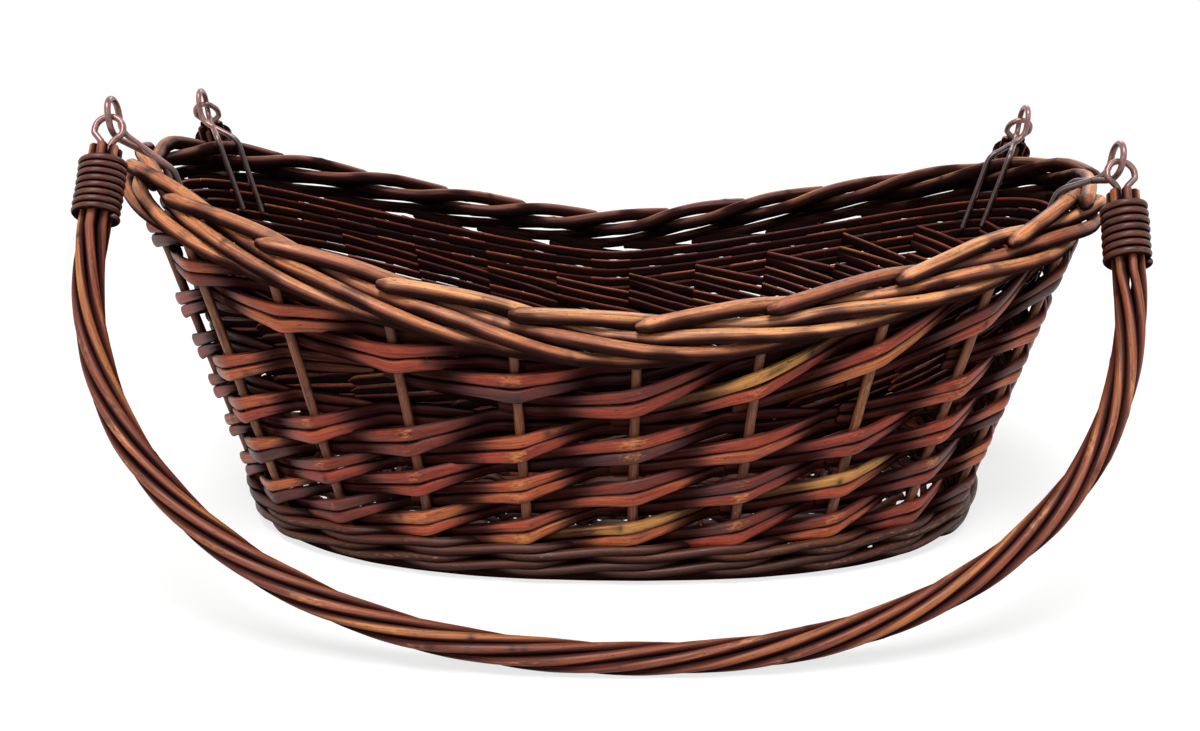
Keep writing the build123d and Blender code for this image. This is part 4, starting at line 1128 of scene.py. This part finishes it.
def plainWillowMaterial(label, grain):
    # the foot's willow on Object coordinates, in mm, with the grain along one axis
    made, tree = emptyMaterial("plainWillow" + label.title())
    place = addNode(tree, "ShaderNodeTexCoord", {}, {})
    scaled = addNode(tree, "ShaderNodeVectorMath", {"operation": "SCALE"}, {
        0: place.outputs["Object"], 3: 1 / mm})
    parts = addNode(tree, "ShaderNodeSeparateXYZ", {}, {0: scaled.outputs[0]})
    turned = {k: parts.outputs[axis] for k, axis in enumerate(grain)}
    laid = addNode(tree, "ShaderNodeCombineXYZ", {}, turned)
    marks = addNode(tree, "ShaderNodeRGB", {}, {})
    marks.outputs[0].default_value = plainMarks
    knot = addNode(tree, "ShaderNodeValue", {}, {})
    knot.outputs[0].default_value = 0
    surface = finishWillow(tree, footWillow, laid.outputs[0], marks.outputs[0], knot.outputs[0])
    addNode(tree, "ShaderNodeOutputMaterial", {}, {"Surface": surface.outputs[0]})
    return made


def setMaterial(node, material):
    # one material all over a CAD node
    node.data.materials.clear()
    node.data.materials.append(material)


for label, kept in plainWillow.items():
    made = plainWillowMaterial(label, kept["grain"])
    for nodeName in kept["nodes"]:
        setMaterial(nodes[nodeName], made)
for nodeName, node in nodes.items():
    if nodeName.endswith(("_hairpin", "_eye")):
        setMaterial(node, materials["wire"])
print("CAD nodes finished")

# Floor, backdrop and light, in metres

studio = {
    "floorColour": "#F4F4F2", "floorHalf": 30.0, "floorShown": 0.72, "floorGlow": 1.05, "ambient": 0.07,
    "sky": {"from": (-0.12, -0.42, 1.0), "spreadDegrees": 28.0, "strength": 3.5},
    "lamps": (
        {"name": "frontSoftbox", "place": (-0.7, -1.6, 0.9), "size": 0.8, "watts": 7.0},
        {"name": "rightSoftbox", "place": (1.3, -0.9, 1.1), "size": 0.6, "watts": 4.5},
        {"name": "rearSoftbox", "place": (0.4, 1.3, 1.3), "size": 0.9, "watts": 8.0},
    ),
    "aimHeight": 0.1, "white": (1, 1, 1, 1),
}


def backgroundRays(tree):
    # 1 for what the camera sees, straight, in a reflection or through something clear, and else 0
    lightPath = addNode(tree, "ShaderNodeLightPath", {}, {})
    mirrored = addNode(tree, "ShaderNodeMath", {"operation": "MAXIMUM"}, {
        0: lightPath.outputs["Is Glossy Ray"], 1: lightPath.outputs["Is Transmission Ray"]})
    return addNode(tree, "ShaderNodeMath", {"operation": "MAXIMUM"}, {
        0: lightPath.outputs["Is Camera Ray"], 1: mirrored.outputs[0]}).outputs[0]


def makeFloor(spec):
    # a pale board that takes the shadow, and glows to the camera and in reflections until it looks white
    made, tree = emptyMaterial("paleFloorBoard")
    board = addNode(tree, "ShaderNodeBsdfDiffuse", {}, {"Color": linear(spec["floorColour"])})
    glow = addNode(tree, "ShaderNodeEmission", {}, {"Color": spec["white"], "Strength": spec["floorGlow"]})
    share = addNode(tree, "ShaderNodeMath", {"operation": "MULTIPLY"}, {
        0: backgroundRays(tree), 1: spec["floorShown"]})
    mixed = addNode(tree, "ShaderNodeMixShader", {}, {
        0: share.outputs[0], 1: board.outputs[0], 2: glow.outputs[0]})
    addNode(tree, "ShaderNodeOutputMaterial", {}, {"Surface": mixed.outputs[0]})
    half = spec["floorHalf"]
    mesh = bpy.data.meshes.new("floorBoard")
    corners = [(-half, -half, 0), (half, -half, 0), (half, half, 0), (-half, half, 0)]
    mesh.from_pydata(corners, [], [(0, 1, 2, 3)])
    mesh.materials.append(made)
    floor = bpy.data.objects.new("floorBoard", mesh)
    bpy.context.scene.collection.objects.link(floor)


def makeWorld(spec):
    # white to look at and in reflections, with only a faint light on the basket from all round
    world = bpy.data.worlds.new("whiteStudio")
    world.use_nodes = True
    tree = world.node_tree
    tree.nodes.clear()
    seen = addNode(tree, "ShaderNodeMath", {"operation": "MAXIMUM"}, {
        0: backgroundRays(tree), 1: spec["ambient"]})
    sky = addNode(tree, "ShaderNodeBackground", {}, {"Color": spec["white"], "Strength": seen.outputs[0]})
    addNode(tree, "ShaderNodeOutputWorld", {}, {"Surface": sky.outputs[0]})
    bpy.context.scene.world = world


def makeLamps(spec):
    # one broad light from above and three round softboxes, each turned towards the basket
    data = bpy.data.lights.new("overheadDiffuser", "SUN")
    data.energy = spec["sky"]["strength"]
    data.angle = math.radians(spec["sky"]["spreadDegrees"])
    made = bpy.data.objects.new("overheadDiffuser", data)
    made.rotation_euler = Vector(spec["sky"]["from"]).to_track_quat("Z", "Y").to_euler()
    bpy.context.scene.collection.objects.link(made)
    for lamp in spec["lamps"]:
        data = bpy.data.lights.new(lamp["name"], "AREA")
        data.shape = "DISK"
        data.size = lamp["size"]
        data.energy = lamp["watts"]
        made = bpy.data.objects.new(lamp["name"], data)
        made.location = lamp["place"]
        aim = Vector((0, 0, spec["aimHeight"])) - Vector(lamp["place"])
        made.rotation_euler = aim.to_track_quat("-Z", "Y").to_euler()
        bpy.context.scene.collection.objects.link(made)


makeFloor(studio)
makeWorld(studio)
makeLamps(studio)
bpy.context.scene.view_settings.view_transform = "Standard"
print("studio made")
